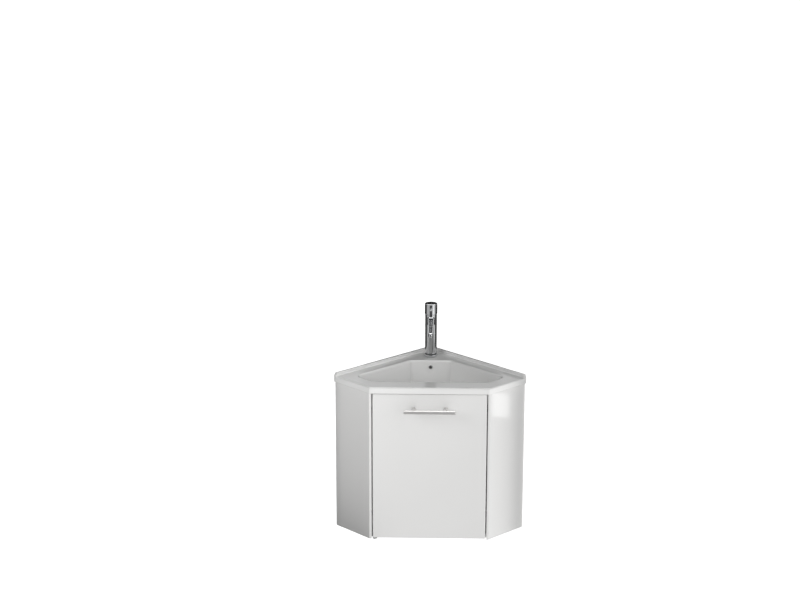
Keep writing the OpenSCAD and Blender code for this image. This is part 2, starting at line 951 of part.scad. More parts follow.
// Distance from the trap's axis to the outer face of the outlet nut
outlet_nut_end = bottle_r + socket_len + trap_seal_t + outlet_nut_lip;

module trap_outlet_nut() {
    start = outlet_nut_end - outlet_nut_len;
    color(plastic) along_outlet() translate([0, 0, start]) difference() {
        union() {
            cylinder(r = outlet_nut_r, h = outlet_nut_len);
            nut_grip(outlet_nut_r, outlet_nut_len);
        }
        translate([0, 0, -cut]) cylinder(r = spigot_r, h = outlet_nut_len + 2 * cut);
        translate([0, 0, -cut]) cylinder(r = socket_r, h = outlet_nut_len - outlet_nut_lip + cut);
    }
}

// Outlet pipe: a spigot in the socket, then the full diameter up to the wall
module trap_outlet_pipe() {
    start = bottle_r + socket_len - pipe_in_socket;
    shoulder = outlet_nut_end + shoulder_gap;
    color(plastic) along_outlet() {
        translate([0, 0, start]) ring(spigot_r, pipe_in_r, shoulder - start);
        translate([0, 0, shoulder]) ring(pipe_r, pipe_in_r, waste_from_corner / r2 - shoulder);
    }
}

// A puck with a rounded rim, used inside the spout's hull
module spout_puck(r, h, edge) {
    for (i = [0 : edge_steps])
        let (a = quarter * i / edge_steps)
            translate([0, 0, edge * (1 - sin(a))])
                cylinder(r = r - edge * (1 - cos(a)), h = h - 2 * edge * (1 - sin(a)), $fn = hull_fn);
}

module spout_form() {
    hull() {
        translate([0, tap_y, seam_z - spout_root_low])
            spout_puck(spout_root_r, spout_root_low - spout_root_high, spout_root_edge);
        translate([0, tap_y - spout_reach, seam_z - spout_tip_low])
            spout_puck(spout_tip_r, spout_tip_h, spout_tip_edge);
    }
}

// Place of the aerator's lower face
aerator_z = seam_z - spout_tip_low - aerator_out;

module tap_body() {
    chamber_z = tilt_z - tilt_rise - seam_gap - dome_thread_h - cartridge_len;
    drop = chamber_z + water_rise - aerator_z - aerator_h;
    color(chrome) difference() {
        union() {
            translate([0, tap_y, 0]) rotate_extrude() polygon([
                [0, tap_z],
                [foot_r, tap_z],
                [foot_r, tap_z + foot_h],
                [tap_r + (foot_r - tap_r) / 3, tap_z + foot_h + foot_flare_h / 3],
                [tap_r, tap_z + foot_h + foot_flare_h],
                [tap_r, seam_z],
                [0, seam_z]
            ]);
            spout_form();
        }
        translate([0, tap_y, chamber_z]) cylinder(r = cartridge_r, h = seam_z - chamber_z + cut);
        translate([0, tap_y, seam_z - dome_thread_h]) cylinder(r = dome_thread_r, h = dome_thread_h + cut);
        for (s = [-1, 1]) translate([s * inlet_x, tap_y + inlet_y, tap_z - cut]) {
            cylinder(d = inlet_d, h = inlet_len + cut);
            cylinder(d = water_d, h = chamber_z - tap_z + 2 * cut);
        }
        translate([0, tap_y + stud_back, tap_z - cut]) cylinder(d = stud_d, h = stud_in_body + cut);
        translate([0, tap_y - spout_reach, aerator_z]) cylinder(r = aerator_r, h = aerator_h);
        translate([0, tap_y - spout_reach, aerator_z + aerator_h])
            rotate([-atan2(spout_reach, drop), 0, 0])
                cylinder(d = water_d, h = norm([spout_reach, drop]));
    }
}

module tap_gasket() {
    color(rubber) translate([0, tap_y, rim_top]) ring(foot_r - seam_gap, tap_hole_d / 2, tap_gasket_t);
}

module tap_stud() {
    color(steel) translate([0, tap_y + stud_back, cab_h - stud_below])
        cylinder(d = stud_d, h = tap_z + stud_in_body - cab_h + stud_below);
}

// Horseshoe plate that clamps the tap from below, open to the front for the supply pipes
module horseshoe(z, h) {
    translate([0, tap_y, z]) difference() {
        cylinder(r = clamp_r, h = h);
        translate([-clamp_slot_w / 2, -clamp_r - cut, -cut])
            cube([clamp_slot_w, clamp_r + clamp_slot_back + cut, h + 2 * cut]);
        translate([0, stud_back, -cut]) cylinder(d = stud_d, h = h + 2 * cut);
    }
}

module tap_clamp_rubber() {
    color(rubber) horseshoe(cab_h - clamp_rubber_t, clamp_rubber_t);
}

module tap_clamp_plate() {
    color(steel) horseshoe(cab_h - clamp_rubber_t - clamp_plate_t, clamp_plate_t);
}

module tap_nut() {
    low = cab_h - clamp_rubber_t - clamp_plate_t - tap_nut_h;
    color(brass) translate([0, tap_y + stud_back, low]) difference() {
        cylinder(d = tap_nut_af * hex_spread, h = tap_nut_h, $fn = hex_corners);
        translate([0, 0, -cut]) cylinder(d = stud_d, h = tap_nut_h + 2 * cut);
    }
}

module aerator_housing() {
    color(chrome) translate([0, tap_y - spout_reach, aerator_z]) difference() {
        cylinder(r = aerator_r, h = aerator_h);
        translate([0, 0, -cut]) cylinder(r = aerator_r - aerator_wall - aerator_lip, h = aerator_h + 2 * cut);
        translate([0, 0, aerator_lip]) cylinder(r = aerator_r - aerator_wall, h = aerator_h);
    }
}

module aerator_insert() {
    color(plastic) translate([0, tap_y - spout_reach, aerator_z + aerator_lip]) difference() {
        cylinder(r = aerator_r - aerator_wall, h = aerator_h - aerator_lip);
        for (k = [0 : aerator_holes - 1])
            rotate([0, 0, 360 * k / aerator_holes]) translate([aerator_hole_ring, 0, -cut])
                cylinder(d = aerator_hole_d, h = aerator_h + 2 * cut);
    }
}

// Cartridge housing in the tap body, with a seat for the rotor
module cartridge_body() {
    top = seam_z - dome_thread_h;
    color(plastic) translate([0, tap_y, 0]) difference() {
        translate([0, 0, top - cartridge_len]) cylinder(r = cartridge_r, h = cartridge_len);
        translate([0, 0, tilt_z - rotor_sink - rotor_h - clear])
            cylinder(r = rotor_r + running, h = rotor_h * 2);
        for (s = [-1, 1]) translate([s * inlet_x, inlet_y, top - cartridge_len - cut])
            cylinder(d = water_d, h = cartridge_len / 2);
    }
}

// Domed ring nut that holds the cartridge and closes the gap below the cap
module dome_nut() {
    low = seam_z - dome_thread_h;
    color(chrome) difference() {
        union() {
            translate([0, tap_y, low]) cylinder(r = dome_thread_r, h = dome_thread_h);
            intersection() {
                translate([0, tap_y, tilt_z]) sphere(r = dome_r);
                translate([0, tap_y, seam_z]) cylinder(r = dome_r, h = tilt_z + dome_top_rise - seam_z);
            }
        }
        translate([0, tap_y, low - cut]) cylinder(r = dome_bore_r, h = 2 * dome_r + dome_thread_h);
    }
}

// Rotor: turns with the handle and carries the tilt pin in two ears
module cartridge_rotor() {
    low = tilt_z - rotor_sink - rotor_h;
    color(plastic) translate([0, tap_y, 0]) difference() {
        union() {
            translate([0, 0, low]) cylinder(r = rotor_r, h = rotor_h);
            intersection() {
                translate([0, 0, low]) cylinder(r = rotor_r, h = rotor_h + rotor_sink + ear_rise);
                for (s = [-1, 1])
                    translate([s * (rotor_r - ear_t / 2) - ear_t / 2, -ear_half, low])
                        cube([ear_t, 2 * ear_half, rotor_h + rotor_sink + ear_rise]);
            }
        }
        translate([-rotor_r - cut, 0, tilt_z]) rotate([0, 90, 0])
            cylinder(d = rotor_pin_d, h = 2 * rotor_r + 2 * cut);
    }
}

module rotor_pin() {
    len = 2 * (rotor_r - rotor_pin_sink);
    color(steel) translate([-len / 2, tap_y, tilt_z]) rotate([0, 90, 0]) cylinder(d = rotor_pin_d, h = len);
}

// Spindle: a hub on the tilt pin and a square bar that the cap fits over
module spindle() {
    hub_half = rotor_r - ear_t - clear;
    color(brass) translate([0, tap_y, tilt_z]) difference() {
        union() {
            translate([-hub_half, 0, 0]) rotate([0, 90, 0]) cylinder(r = spindle_hub_r, h = 2 * hub_half);
            translate([-spindle_w / 2, -spindle_w / 2, 0])
                cube([spindle_w, spindle_w, ceiling_rise + spindle_in_cap]);
        }
        translate([-hub_half - cut, 0, 0]) rotate([0, 90, 0])
            cylinder(r = rotor_pin_d / 2 + running, h = 2 * (hub_half + cut));
    }
}

// Places a shape drawn along +Z on the lever's axis, starting inside the cap
module along_lever() {
    translate([0, tap_y, tilt_z + lever_rise_z]) rotate([90 - lever_rise, 0, 0]) children();
}

// Seats in the cap for the grub screw and its plug, from the back
module along_grub() {
    translate([0, tap_y, tilt_z + ceiling_rise + spindle_in_cap / 2]) rotate([-90, 0, 0]) children();
}

module handle_cap() {
    color(chrome) difference() {
        translate([0, tap_y, cap_z]) cylinder(r = cap_r, h = cap_h);
        translate([0, tap_y, cap_top - cap_edge]) difference() {
            cylinder(r = cap_r + cut, h = cap_edge + cut);
            cylinder(r1 = cap_r, r2 = cap_r - cap_edge, h = cap_edge);
        }
        translate([0, tap_y, cap_z - cut])
            cylinder(r = cap_hollow_r, h = tilt_rise + ceiling_rise + cut);
        translate([0, tap_y, cap_z]) rotate([lift_angle, 0, 0])
            translate([-cap_d, 0, -cap_d]) cube([2 * cap_d, 2 * cap_d, cap_d]);
        translate([-spindle_w / 2, tap_y - spindle_w / 2, tilt_z])
            cube([spindle_w, spindle_w, ceiling_rise + spindle_in_cap]);
        along_lever() translate([0, 0, lever_in_cap]) cylinder(d = lever_d, h = cap_r);
        along_grub() translate([0, 0, spindle_w / 2]) cylinder(d = grub_d, h = cap_r);
    }
}

module handle_lever() {
    len = cap_r - lever_in_cap + lever_len;
    color(chrome) along_lever() translate([0, 0, lever_in_cap]) {
        cylinder(d = lever_d, h = len - lever_tip_r);
        translate([0, 0, len - lever_tip_r])
            cylinder(r1 = lever_d / 2, r2 = lever_d / 2 - lever_tip_r, h = lever_tip_r);
    }
}

module grub_screw() {
    color(steel) along_grub() translate([0, 0, spindle_w / 2]) difference() {
        cylinder(d = grub_d, h = grub_len);
        translate([0, 0, grub_len / 2]) cylinder(d = grub_hex, h = grub_len, $fn = hex_corners);
    }
}

module screw_plug() {
    color(chrome) along_grub() translate([0, 0, cap_r - plug_sink - plug_len])
        cylinder(d = grub_d, h = plug_len);
}

// Door board with rounded upright front edges
module door_form() {
    high = door_top - door_end_gap;
    translate([0, 0, door_end_gap]) linear_extrude(high) union() {
        translate([-door_half, front_y + door_edge_r]) square([2 * door_half, door_t - door_edge_r]);
        translate([-door_half + door_edge_r, front_y]) square([2 * (door_half - door_edge_r), door_t]);
        for (s = [-1, 1])
            translate([s * (door_half - door_edge_r), front_y + door_edge_r]) circle(r = door_edge_r);
    }
}

module door_panel() {
    color(lacquer) difference() {
        door_form();
        for (z = [door_end_gap - cut, door_top - bush_len])
            translate([pivot_x, pivot_y, z]) cylinder(r = pivot_d / 2 + bush_wall, h = bush_len + cut);
        handle_screw_set();
        strike_screw();
    }
}

module pivot_bushes() {
    color(plastic) for (z = [door_end_gap, door_top - bush_len])
        translate([pivot_x, pivot_y, z]) ring(pivot_d / 2 + bush_wall, pivot_d / 2 + running, bush_len);
}

module pivot_pins() {
    color(steel) translate([pivot_x, pivot_y, 0]) {
        cylinder(d = pivot_d, h = door_end_gap + pin_in_door);
        translate([0, 0, door_top - pin_in_door]) cylinder(d = pivot_d, h = cab_h - door_top + pin_in_door);
    }
}

// Flat plate that reaches from the carcass over the door's edge to the pivot
module pivot_plate(z, depth) {
    translate([0, 0, z]) {
        translate([pivot_x, pivot_y, 0]) cylinder(r = pivot_plate_r, h = pivot_plate_t);
        translate([pivot_x - pivot_plate_r, pivot_y, 0])
            cube([2 * pivot_plate_r, inner_front_y + depth - pivot_y, pivot_plate_t]);
        translate([pivot_x - pivot_plate_r, inner_front_y, 0])
            cube([pivot_plate_len, depth, pivot_plate_t]);
    }
}

module upper_pivot_form() {
    pivot_plate(cab_h - pivot_plate_t, pivot_plate_depth);
}

module lower_pivot_form() {
    pivot_plate(0, lower_plate_depth);
}

// Screws that hold the two pivot plates, two in each
module pivot_plate_screw_set(seat = false) {
    for (x = [pivot_x + plate_screw_spacing / 2, pivot_x + plate_screw_spacing * 3 / 2]) {
        translate([x, inner_front_y + pivot_plate_depth / 2, cab_h - plate_screw_head_h])
            screw(plate_screw_d, plate_screw_len, plate_screw_head_d, plate_screw_head_h, seat);
        translate([x, inner_front_y + lower_plate_depth / 2, plate_screw_head_h]) rotate([180, 0, 0])
            screw(plate_screw_d, plate_screw_len, plate_screw_head_d, plate_screw_head_h, seat);
    }
}

module upper_pivot_plate() {
    color(steel) difference() {
        upper_pivot_form();
        translate([pivot_x, pivot_y, cab_h - pivot_plate_t - cut])
            cylinder(d = pivot_d, h = pivot_plate_t + 2 * cut);
        pivot_plate_screw_set(true);
    }
}

module lower_pivot_plate() {
    color(steel) difference() {
        lower_pivot_form();
        translate([pivot_x, pivot_y, -cut]) cylinder(d = pivot_d, h = pivot_plate_t + 2 * cut);
        pivot_plate_screw_set(true);
    }
}

module pivot_plate_screws() {
    color(steel) pivot_plate_screw_set();
}

module handle_bar() {
    color(steel) translate([-bar_len / 2, bar_y, bar_z]) rotate([0, 90, 0]) rotate_extrude() polygon([
        [0, 0],
        [bar_d / 2 - bar_chamfer, 0],
        [bar_d / 2, bar_chamfer],
        [bar_d / 2, bar_len - bar_chamfer],
        [bar_d / 2 - bar_chamfer, bar_len],
        [0, bar_len]
    ]);
}

// The two screws of the handle, from behind the door
module handle_screw_set() {
    len = door_t + handle_screw_in_post;
    for (s = [-1, 1]) translate([s * post_pitch / 2, door_back_y, bar_z]) rotate([-90, 0, 0]) {
        translate([0, 0, -len]) cylinder(d = handle_screw_d, h = len);
        difference() {
            cylinder(d = handle_screw_head_d, h = handle_screw_head_h);
            translate([-handle_screw_head_d / 2, -handle_screw_slot / 2, handle_screw_head_h - handle_screw_slot])
                cube([handle_screw_head_d, handle_screw_slot, 2 * handle_screw_slot]);
        }
    }
}

module handle_posts() {
    color(steel) difference() {
        for (s = [-1, 1]) translate([s * post_pitch / 2, bar_y, bar_z]) rotate([-90, 0, 0])
            cylinder(d = post_d, h = bar_standoff);
        translate([-bar_len / 2, bar_y, bar_z]) rotate([0, 90, 0]) cylinder(d = bar_d, h = bar_len);
        handle_screw_set();
    }
}

module handle_screws() {
    color(steel) handle_screw_set();
}

// Catch under the front rail, with two steel poles beside its magnet
module magnetic_catch() {
    face_y = door_back_y + strike_t + clear;
    color(plastic) difference() {
        translate([catch_x - catch_w / 2, face_y + pole_out, front_rail_z - catch_h])
            cube([catch_w, catch_len, catch_h]);
        translate([catch_x - magnet_w / 2, face_y, front_rail_z - catch_h * 3 / 4])
            cube([magnet_w, 2 * pole_out, catch_h / 2]);
        catch_screw_set(true);
    }
    color(rubber) translate([catch_x - magnet_w / 2, face_y + pole_out, front_rail_z - catch_h * 3 / 4 + pole_t])
        cube([magnet_w, pole_out, catch_h / 2 - 2 * pole_t]);
    color(steel) for (z = [front_rail_z - catch_h * 3 / 4, front_rail_z - catch_h / 4 - pole_t])
        translate([catch_x - magnet_w / 2, face_y, z]) cube([magnet_w, 2 * pole_out, pole_t]);
}

// Screws that hold the catch up against the rail
module catch_screw_set(seat = false) {
    for (x = [catch_x - (catch_w + magnet_w) / 4, catch_x + (catch_w + magnet_w) / 4])
        translate([x, inner_front_y + front_rail_t / 2, front_rail_z - catch_h]) rotate([180, 0, 0])
            screw(plate_screw_d, catch_h + plate_screw_len, plate_screw_head_d, plate_screw_head_h, seat);
}

module catch_screws() {
    color(steel) catch_screw_set();
}

// Screw in the middle of the strike plate
module strike_screw() {
    translate([catch_x, door_back_y + strike_t - plate_screw_head_h, front_rail_z - catch_h / 2])
        rotate([-90, 0, 0]) {
            translate([0, 0, -plate_screw_len]) cylinder(d = plate_screw_d, h = plate_screw_len);
            cylinder(d = plate_screw_head_d, h = plate_screw_head_h);
        }
}

module strike_plate() {
    color(steel) union() {
        translate([catch_x - strike_w / 2, door_back_y, front_rail_z - catch_h])
            cube([strike_w, strike_t, catch_h]);
        strike_screw();
    }
}

// Soft buffers on the door's back, which meet the front rail and the bottom panel
module door_buffers() {
    color(plastic) for (z = [door_top - buffer_drop, board / 2])
        translate([door_half - buffer_in_x, door_back_y, z]) rotate([-90, 0, 0])
            cylinder(d = buffer_d, h = close_gap - clear);
}

left_return_panel();
right_return_panel();
bottom_panel();
left_upper_rail();
right_upper_rail();
left_lower_rail();
right_lower_rail();
front_rail();
corner_brackets();
bracket_screws();
cam_locks();
cam_bolts();
wood_dowels();
basin();
overflow_ring();
waste_body();
waste_upper_seal();
waste_lower_seal();
waste_nut();
waste_plug();
plug_seal();
trap_inlet_seal();
trap_inlet_nut();
trap_dip_tube();
trap_body();
trap_cup_seal();
trap_cup();
trap_outlet_seal();
trap_outlet_nut();
trap_outlet_pipe();
tap_body();
tap_gasket();
tap_stud();
tap_clamp_rubber();
tap_clamp_plate();
tap_nut();
aerator_housing();
aerator_insert();
cartridge_body();
dome_nut();
cartridge_rotor();
rotor_pin();
spindle();
handle_cap();
handle_lever();
grub_screw();
screw_plug();
door_panel();
handle_bar();
handle_posts();
handle_screws();
pivot_bushes();
pivot_pins();
upper_pivot_plate();
lower_pivot_plate();
pivot_plate_screws();
magnetic_catch();
catch_screws();
strike_plate();
door_buffers();
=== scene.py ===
"""Looks of the wall-hung corner vanity unit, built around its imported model.

The unit hangs where two walls meet. Its cabinet is in white gloss lacquer, the basin is glazed ceramic, the
lever mixer is chromed, the bar handle is brushed, and behind the door are the bottle trap and the carcass
fittings. Sizes in the sub-assemblies are millimetres, and every finished piece is brought to metres once.
Heights of relief and sizes in the studio are metres.
"""

from __future__ import annotations

import json
import logging
import math
from dataclasses import dataclass
from enum import Enum, IntEnum
from typing import Iterable, Sequence

import bmesh
import bpy
import numpy as np
from mathutils import Matrix, Vector

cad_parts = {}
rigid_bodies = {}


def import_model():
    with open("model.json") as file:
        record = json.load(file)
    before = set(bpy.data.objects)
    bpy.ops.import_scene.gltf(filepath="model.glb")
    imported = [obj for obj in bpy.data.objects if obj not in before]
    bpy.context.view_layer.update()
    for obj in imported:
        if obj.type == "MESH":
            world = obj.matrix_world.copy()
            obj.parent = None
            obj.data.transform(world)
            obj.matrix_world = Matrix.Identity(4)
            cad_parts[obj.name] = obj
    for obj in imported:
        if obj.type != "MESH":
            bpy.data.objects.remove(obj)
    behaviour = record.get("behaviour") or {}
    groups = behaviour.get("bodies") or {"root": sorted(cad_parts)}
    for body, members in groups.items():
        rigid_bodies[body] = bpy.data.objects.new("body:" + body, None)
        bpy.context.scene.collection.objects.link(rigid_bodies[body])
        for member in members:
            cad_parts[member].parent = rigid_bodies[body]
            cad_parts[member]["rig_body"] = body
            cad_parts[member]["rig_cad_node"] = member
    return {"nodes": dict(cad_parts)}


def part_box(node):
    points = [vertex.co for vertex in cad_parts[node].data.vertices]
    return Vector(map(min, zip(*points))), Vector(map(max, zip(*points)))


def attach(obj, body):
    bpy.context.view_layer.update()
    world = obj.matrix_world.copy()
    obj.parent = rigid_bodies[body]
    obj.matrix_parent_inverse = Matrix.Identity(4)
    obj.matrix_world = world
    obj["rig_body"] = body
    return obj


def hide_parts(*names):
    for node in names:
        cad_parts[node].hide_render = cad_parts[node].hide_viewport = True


LOG = logging.getLogger("corner_vanity")
MM = 0.001
ROOT2 = math.sqrt(2.0)
UP = Vector((0, 0, 1))
SIDEWAYS = Vector((1, 0, 0))
FORWARD = Vector((0, -1, 0))
BACKWARD = Vector((0, 1, 0))

Piece = bpy.types.Object
Ring = list[Vector]

NODES: dict[str, Piece] = {}


class Body(Enum):
    """Bodies that pieces ride on."""

    UNIT = "unit"
    DOOR = "door"
    HANDLE = "tap_handle"
    PLUG = "plug"


class Slot(Enum):
    """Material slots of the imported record."""

    LACQUER = "lacquered_board"
    MELAMINE = "melamine_board"
    CERAMIC = "glazed_ceramic"
    CHROME = "chrome"
    BRUSHED = "brushed_steel"
    ZINC = "zinc_steel"
    BRASS = "brass"
    WHITE_PLASTIC = "white_plastic"
    GREY_PLASTIC = "grey_plastic"
    RUBBER = "rubber"
    BEECH = "beech"
    CLEAR = "clear_plastic"


class Join(Enum):
    """How one solid meets another."""

    UNITE = "UNION"
    CUT = "DIFFERENCE"
    KEEP = "INTERSECT"


class Facets(IntEnum):
    """Points round a turned solid or a bore."""

    CAP = 128
    CASTING = 96
    BAR = 72
    POST = 64
    LEVER = 56
    OVERFLOW = 48
    CHANNEL = 40


# ---------------------------------------------------------------- finishes


@dataclass(frozen=True)
class Pattern:
    """Noise, or cells with one value each, in a piece's Object coordinates, scaled per metre."""

    scale: float
    detail: float = 2.0
    grain: float = 0.5
    stretch: tuple[float, float, float] = (1, 1, 1)
    cells: bool = False


class Recipe:
    """Node tree of one material."""

    pattern_ends = (0.3, 0.7)

    def __init__(self, name: str) -> None:
        """Starts the material.

        Args:
            name: Name of the material.
        """
        self.material = bpy.data.materials.new(name)
        self.material.use_nodes = True
        self.nodes = self.material.node_tree.nodes
        self.links = self.material.node_tree.links
        self.shader = self.nodes["Principled BSDF"]
        self.place = self.nodes.new("ShaderNodeTexCoord")
        self.relief: bpy.types.NodeSocket | None = None

    def fixed(self, **values: float | tuple[float, ...]) -> None:
        """Sets shader sockets to plain values, with underscores for the spaces of their names."""
        for key, value in values.items():
            self.shader.inputs[key.replace("_", " ")].default_value = value

    def add(self, kind: str, **values: float | Sequence[float]) -> bpy.types.Node:
        """Adds a node.

        Args:
            kind: Type of the node.
            **values: Its inputs' values, with underscores for the spaces of their names.

        Returns:
            The node.
        """
        node = self.nodes.new(kind)
        for key, value in values.items():
            node.inputs[key.replace("_", " ")].default_value = value
        return node

    def pattern(self, pattern: Pattern) -> bpy.types.NodeSocket:
        """Adds a pattern.

        Args:
            pattern: What it looks like.

        Returns:
            Its value, from 0 to 1.
        """
        if pattern.cells:
            cells = self.add("ShaderNodeTexVoronoi", Scale=pattern.scale)
            self.links.new(self.place.outputs["Object"], cells.inputs["Vector"])
            return cells.outputs["Color"]
        mapping = self.add("ShaderNodeMapping", Scale=pattern.stretch)
        noise = self.add(
            "ShaderNodeTexNoise", Scale=pattern.scale, Detail=pattern.detail, Roughness=pattern.grain
        )
        self.links.new(self.place.outputs["Object"], mapping.inputs["Vector"])
        self.links.new(mapping.outputs["Vector"], noise.inputs["Vector"])
        return noise.outputs["Fac"]

    def tint(self, pattern: Pattern, dark: Sequence[float], light: Sequence[float]) -> None:
        """Colours the surface between two tones.

        Args:
            pattern: What spreads the tones.
            dark: Colour at the pattern's low end.
            light: Colour at its high end.
        """
        ramp = self.nodes.new("ShaderNodeValToRGB")
        for index, tone in enumerate((dark, light)):
            ramp.color_ramp.elements[index].position = self.pattern_ends[index]
            ramp.color_ramp.elements[index].color = (*tone, 1.0)
        self.links.new(self.pattern(pattern), ramp.inputs["Fac"])
        self.links.new(ramp.outputs["Color"], self.shader.inputs["Base Color"])

    def rough(self, pattern: Pattern, low: float, high: float) -> None:
        """Varies the roughness.

        Args:
            pattern: What spreads it.
            low: Roughness at the pattern's low end.
            high: Roughness at its high end.
        """
        start, end = self.pattern_ends
        node = self.add("ShaderNodeMapRange", From_Min=start, From_Max=end, To_Min=low, To_Max=high)
        self.links.new(self.pattern(pattern), node.inputs["Value"])
        self.links.new(node.outputs["Result"], self.shader.inputs["Roughness"])

    def raise_by(self, pattern: Pattern, height: float, strength: float) -> None:
        """Adds a layer of fine relief to the surface.

        Args:
            pattern: Form of the relief.
            height: Its height in metres.
            strength: Share of it that shows.
        """
        node = self.add("ShaderNodeBump", Strength=strength, Distance=height)
        self.links.new(self.pattern(pattern), node.inputs["Height"])
        if self.relief is not None:
            self.links.new(self.relief, node.inputs["Normal"])
        self.relief = node.outputs["Normal"]
        self.links.new(self.relief, self.shader.inputs["Normal"])


@dataclass(frozen=True)
class Finish:
    """One surface finish of the unit.

    The shades are factors of the tone at the ends of its pattern. A layer is the pattern of a relief, its
    height in metres and the share of it that shows.
    """

    name: str
    slot: Slot
    tone: tuple[float, float, float]
    tints: Pattern
    shades: tuple[float, float]
    haze: Pattern
    roughness: tuple[float, float]
    layers: tuple[tuple[Pattern, float, float], ...]
    values: tuple[tuple[str, float], ...]

    def material(self) -> bpy.types.Material:
        """The finish's material, made on first use.

        Returns:
            The material.
        """
        found = bpy.data.materials.get(self.name)
        if found is None:
            recipe = Recipe(self.name)
            recipe.fixed(**dict(self.values))
            dark, light = (tuple(min(1.0, c * part) for c in self.tone) for part in self.shades)
            recipe.tint(self.tints, dark, light)
            recipe.rough(self.haze, *self.roughness)
            for layer in self.layers:
                recipe.raise_by(*layer)
            found = recipe.material
        return found


def brushed(name: str, tone: tuple[float, float, float], along: tuple[float, float, float]) -> Finish:
    """Metal brushed along the axis where the streaks' stretch is least."""
    streaks = Pattern(40.0, 5.0, 0.65, along)
    return Finish(
        name, Slot.BRUSHED, tone, streaks, (0.93, 1.04), Pattern(55.0, 4.0, 0.6, along), (0.28, 0.40),
        ((streaks, 0.00002, 0.5),), (("Metallic", 0.55), ("Coat_Weight", 0.2), ("Coat_Roughness", 0.15)),
    )


def moulded(name: str, slot: Slot, tone: tuple[float, float, float], least: float, most: float) -> Finish:
    """Injection-moulded plastic with a fine spark texture, between two values of roughness."""
    return Finish(
        name, slot, tone, Pattern(18.0, 3.0), (0.96, 1.0), Pattern(200.0, 3.0), (least, most),
        ((Pattern(1300.0, 2.0), 0.00003, 0.5),), (("IOR", 1.46),),
    )


# Sprayed high-gloss lacquer, with a faint orange peel under a clear coat.
LACQUER = Finish(
    "white_gloss_lacquer", Slot.LACQUER, (0.80, 0.798, 0.79), Pattern(5.0, 3.0), (0.985, 1.0),
    Pattern(30.0, 3.0), (0.06, 0.09),
    ((Pattern(9.0, 1.0), 0.0004, 0.3), (Pattern(420.0, 1.0), 0.00001, 0.35)),
    (("Coat_Weight", 0.6), ("Coat_Roughness", 0.03), ("Coat_IOR", 1.5), ("IOR", 1.5)),
)
# Melamine face of the inner boards, with a fine pearl relief.
MELAMINE = Finish(
    "white_melamine", Slot.MELAMINE, (0.78, 0.78, 0.77), Pattern(14.0, 4.0), (0.97, 1.0),
    Pattern(160.0, 3.0), (0.34, 0.46), ((Pattern(1500.0, 3.0), 0.00004, 0.4),), (("IOR", 1.48),),
)
# Fired white glaze: thick, smooth and slightly wavy, with a few faint pin marks.
CERAMIC = Finish(
    "white_glaze", Slot.CERAMIC, (0.82, 0.82, 0.812), Pattern(9.0, 4.0), (0.985, 1.0),
    Pattern(40.0, 3.0), (0.17, 0.23),
    ((Pattern(22.0, 1.0), 0.0003, 0.25), (Pattern(260.0, 2.0), 0.00001, 0.4)),
    (("Coat_Weight", 0.2), ("Coat_Roughness", 0.08), ("Coat_IOR", 1.5), ("IOR", 1.5)),
)
# Mirror chrome with the faint haze of handling.
CHROME = Finish(
    "polished_chrome", Slot.CHROME, (0.74, 0.75, 0.76), Pattern(25.0, 3.0), (0.97, 1.0),
    Pattern(60.0, 4.0), (0.045, 0.10), ((Pattern(70.0, 1.0), 0.00008, 0.15),), (("Metallic", 1.0),),
)
BRUSHED = brushed("brushed_nickel", (0.80, 0.79, 0.775), (1.0, 60.0, 60.0))
BRUSHED_POST = brushed("brushed_nickel_posts", (0.76, 0.75, 0.735), (60.0, 1.0, 60.0))
# Zinc plating with its faint crystal patches.
ZINC = Finish(
    "zinc_plate", Slot.ZINC, (0.60, 0.62, 0.64), Pattern(260.0, cells=True), (0.86, 1.06),
    Pattern(300.0, 3.0), (0.28, 0.42), ((Pattern(900.0, 2.0), 0.00002, 0.4),), (("Metallic", 1.0),),
)
# Plain machined brass, slightly dulled.
BRASS = Finish(
    "turned_brass", Slot.BRASS, (0.72, 0.56, 0.28), Pattern(90.0, 4.0), (0.82, 1.05),
    Pattern(60.0, 3.0, 0.6, (1, 1, 30)), (0.22, 0.36), ((Pattern(80.0, 3.0, 0.6, (1, 1, 30)), 0.00002, 0.5),),
    (("Metallic", 1.0),),
)
WHITE_PLASTIC = moulded("white_polypropylene", Slot.WHITE_PLASTIC, (0.80, 0.80, 0.785), 0.36, 0.46)
GREY_PLASTIC = moulded("grey_acetal", Slot.GREY_PLASTIC, (0.34, 0.35, 0.36), 0.3, 0.4)
# Matt rubber with a dusty bloom.
RUBBER = Finish(
    "black_rubber", Slot.RUBBER, (0.028, 0.028, 0.029), Pattern(120.0, 4.0), (0.7, 1.5),
    Pattern(220.0, 3.0), (0.62, 0.82), ((Pattern(1400.0, 3.0), 0.00005, 0.6),), (("IOR", 1.5),),
)
# Beech dowel with its short grain.
BEECH = Finish(
    "bare_beech", Slot.BEECH, (0.60, 0.42, 0.24), Pattern(160.0, 5.0, 0.65, (1, 1, 6)), (0.78, 1.08),
    Pattern(260.0, 3.0), (0.55, 0.7), ((Pattern(160.0, 5.0, 0.65, (1, 1, 6)), 0.00006, 0.6),),
    (("IOR", 1.4),),
)
# Soft, slightly milky plastic of the door buffers.
CLEAR = Finish(
    "milky_buffer", Slot.CLEAR, (0.82, 0.84, 0.85), Pattern(120.0, 2.0), (0.96, 1.0),
    Pattern(300.0, 2.0), (0.18, 0.28), ((Pattern(900.0, 1.0), 0.00002, 0.4),),
    (("Transmission_Weight", 0.55), ("IOR", 1.47)),
)


# ---------------------------------------------------------------- modelling


def at_walls(u: float, v: float, z: float = 0.0) -> Vector:
    """World place of a point u from the corner along the left wall and v away from that wall, at height z."""
    return Vector(((v - u) / ROOT2, -(u + v) / ROOT2, z))


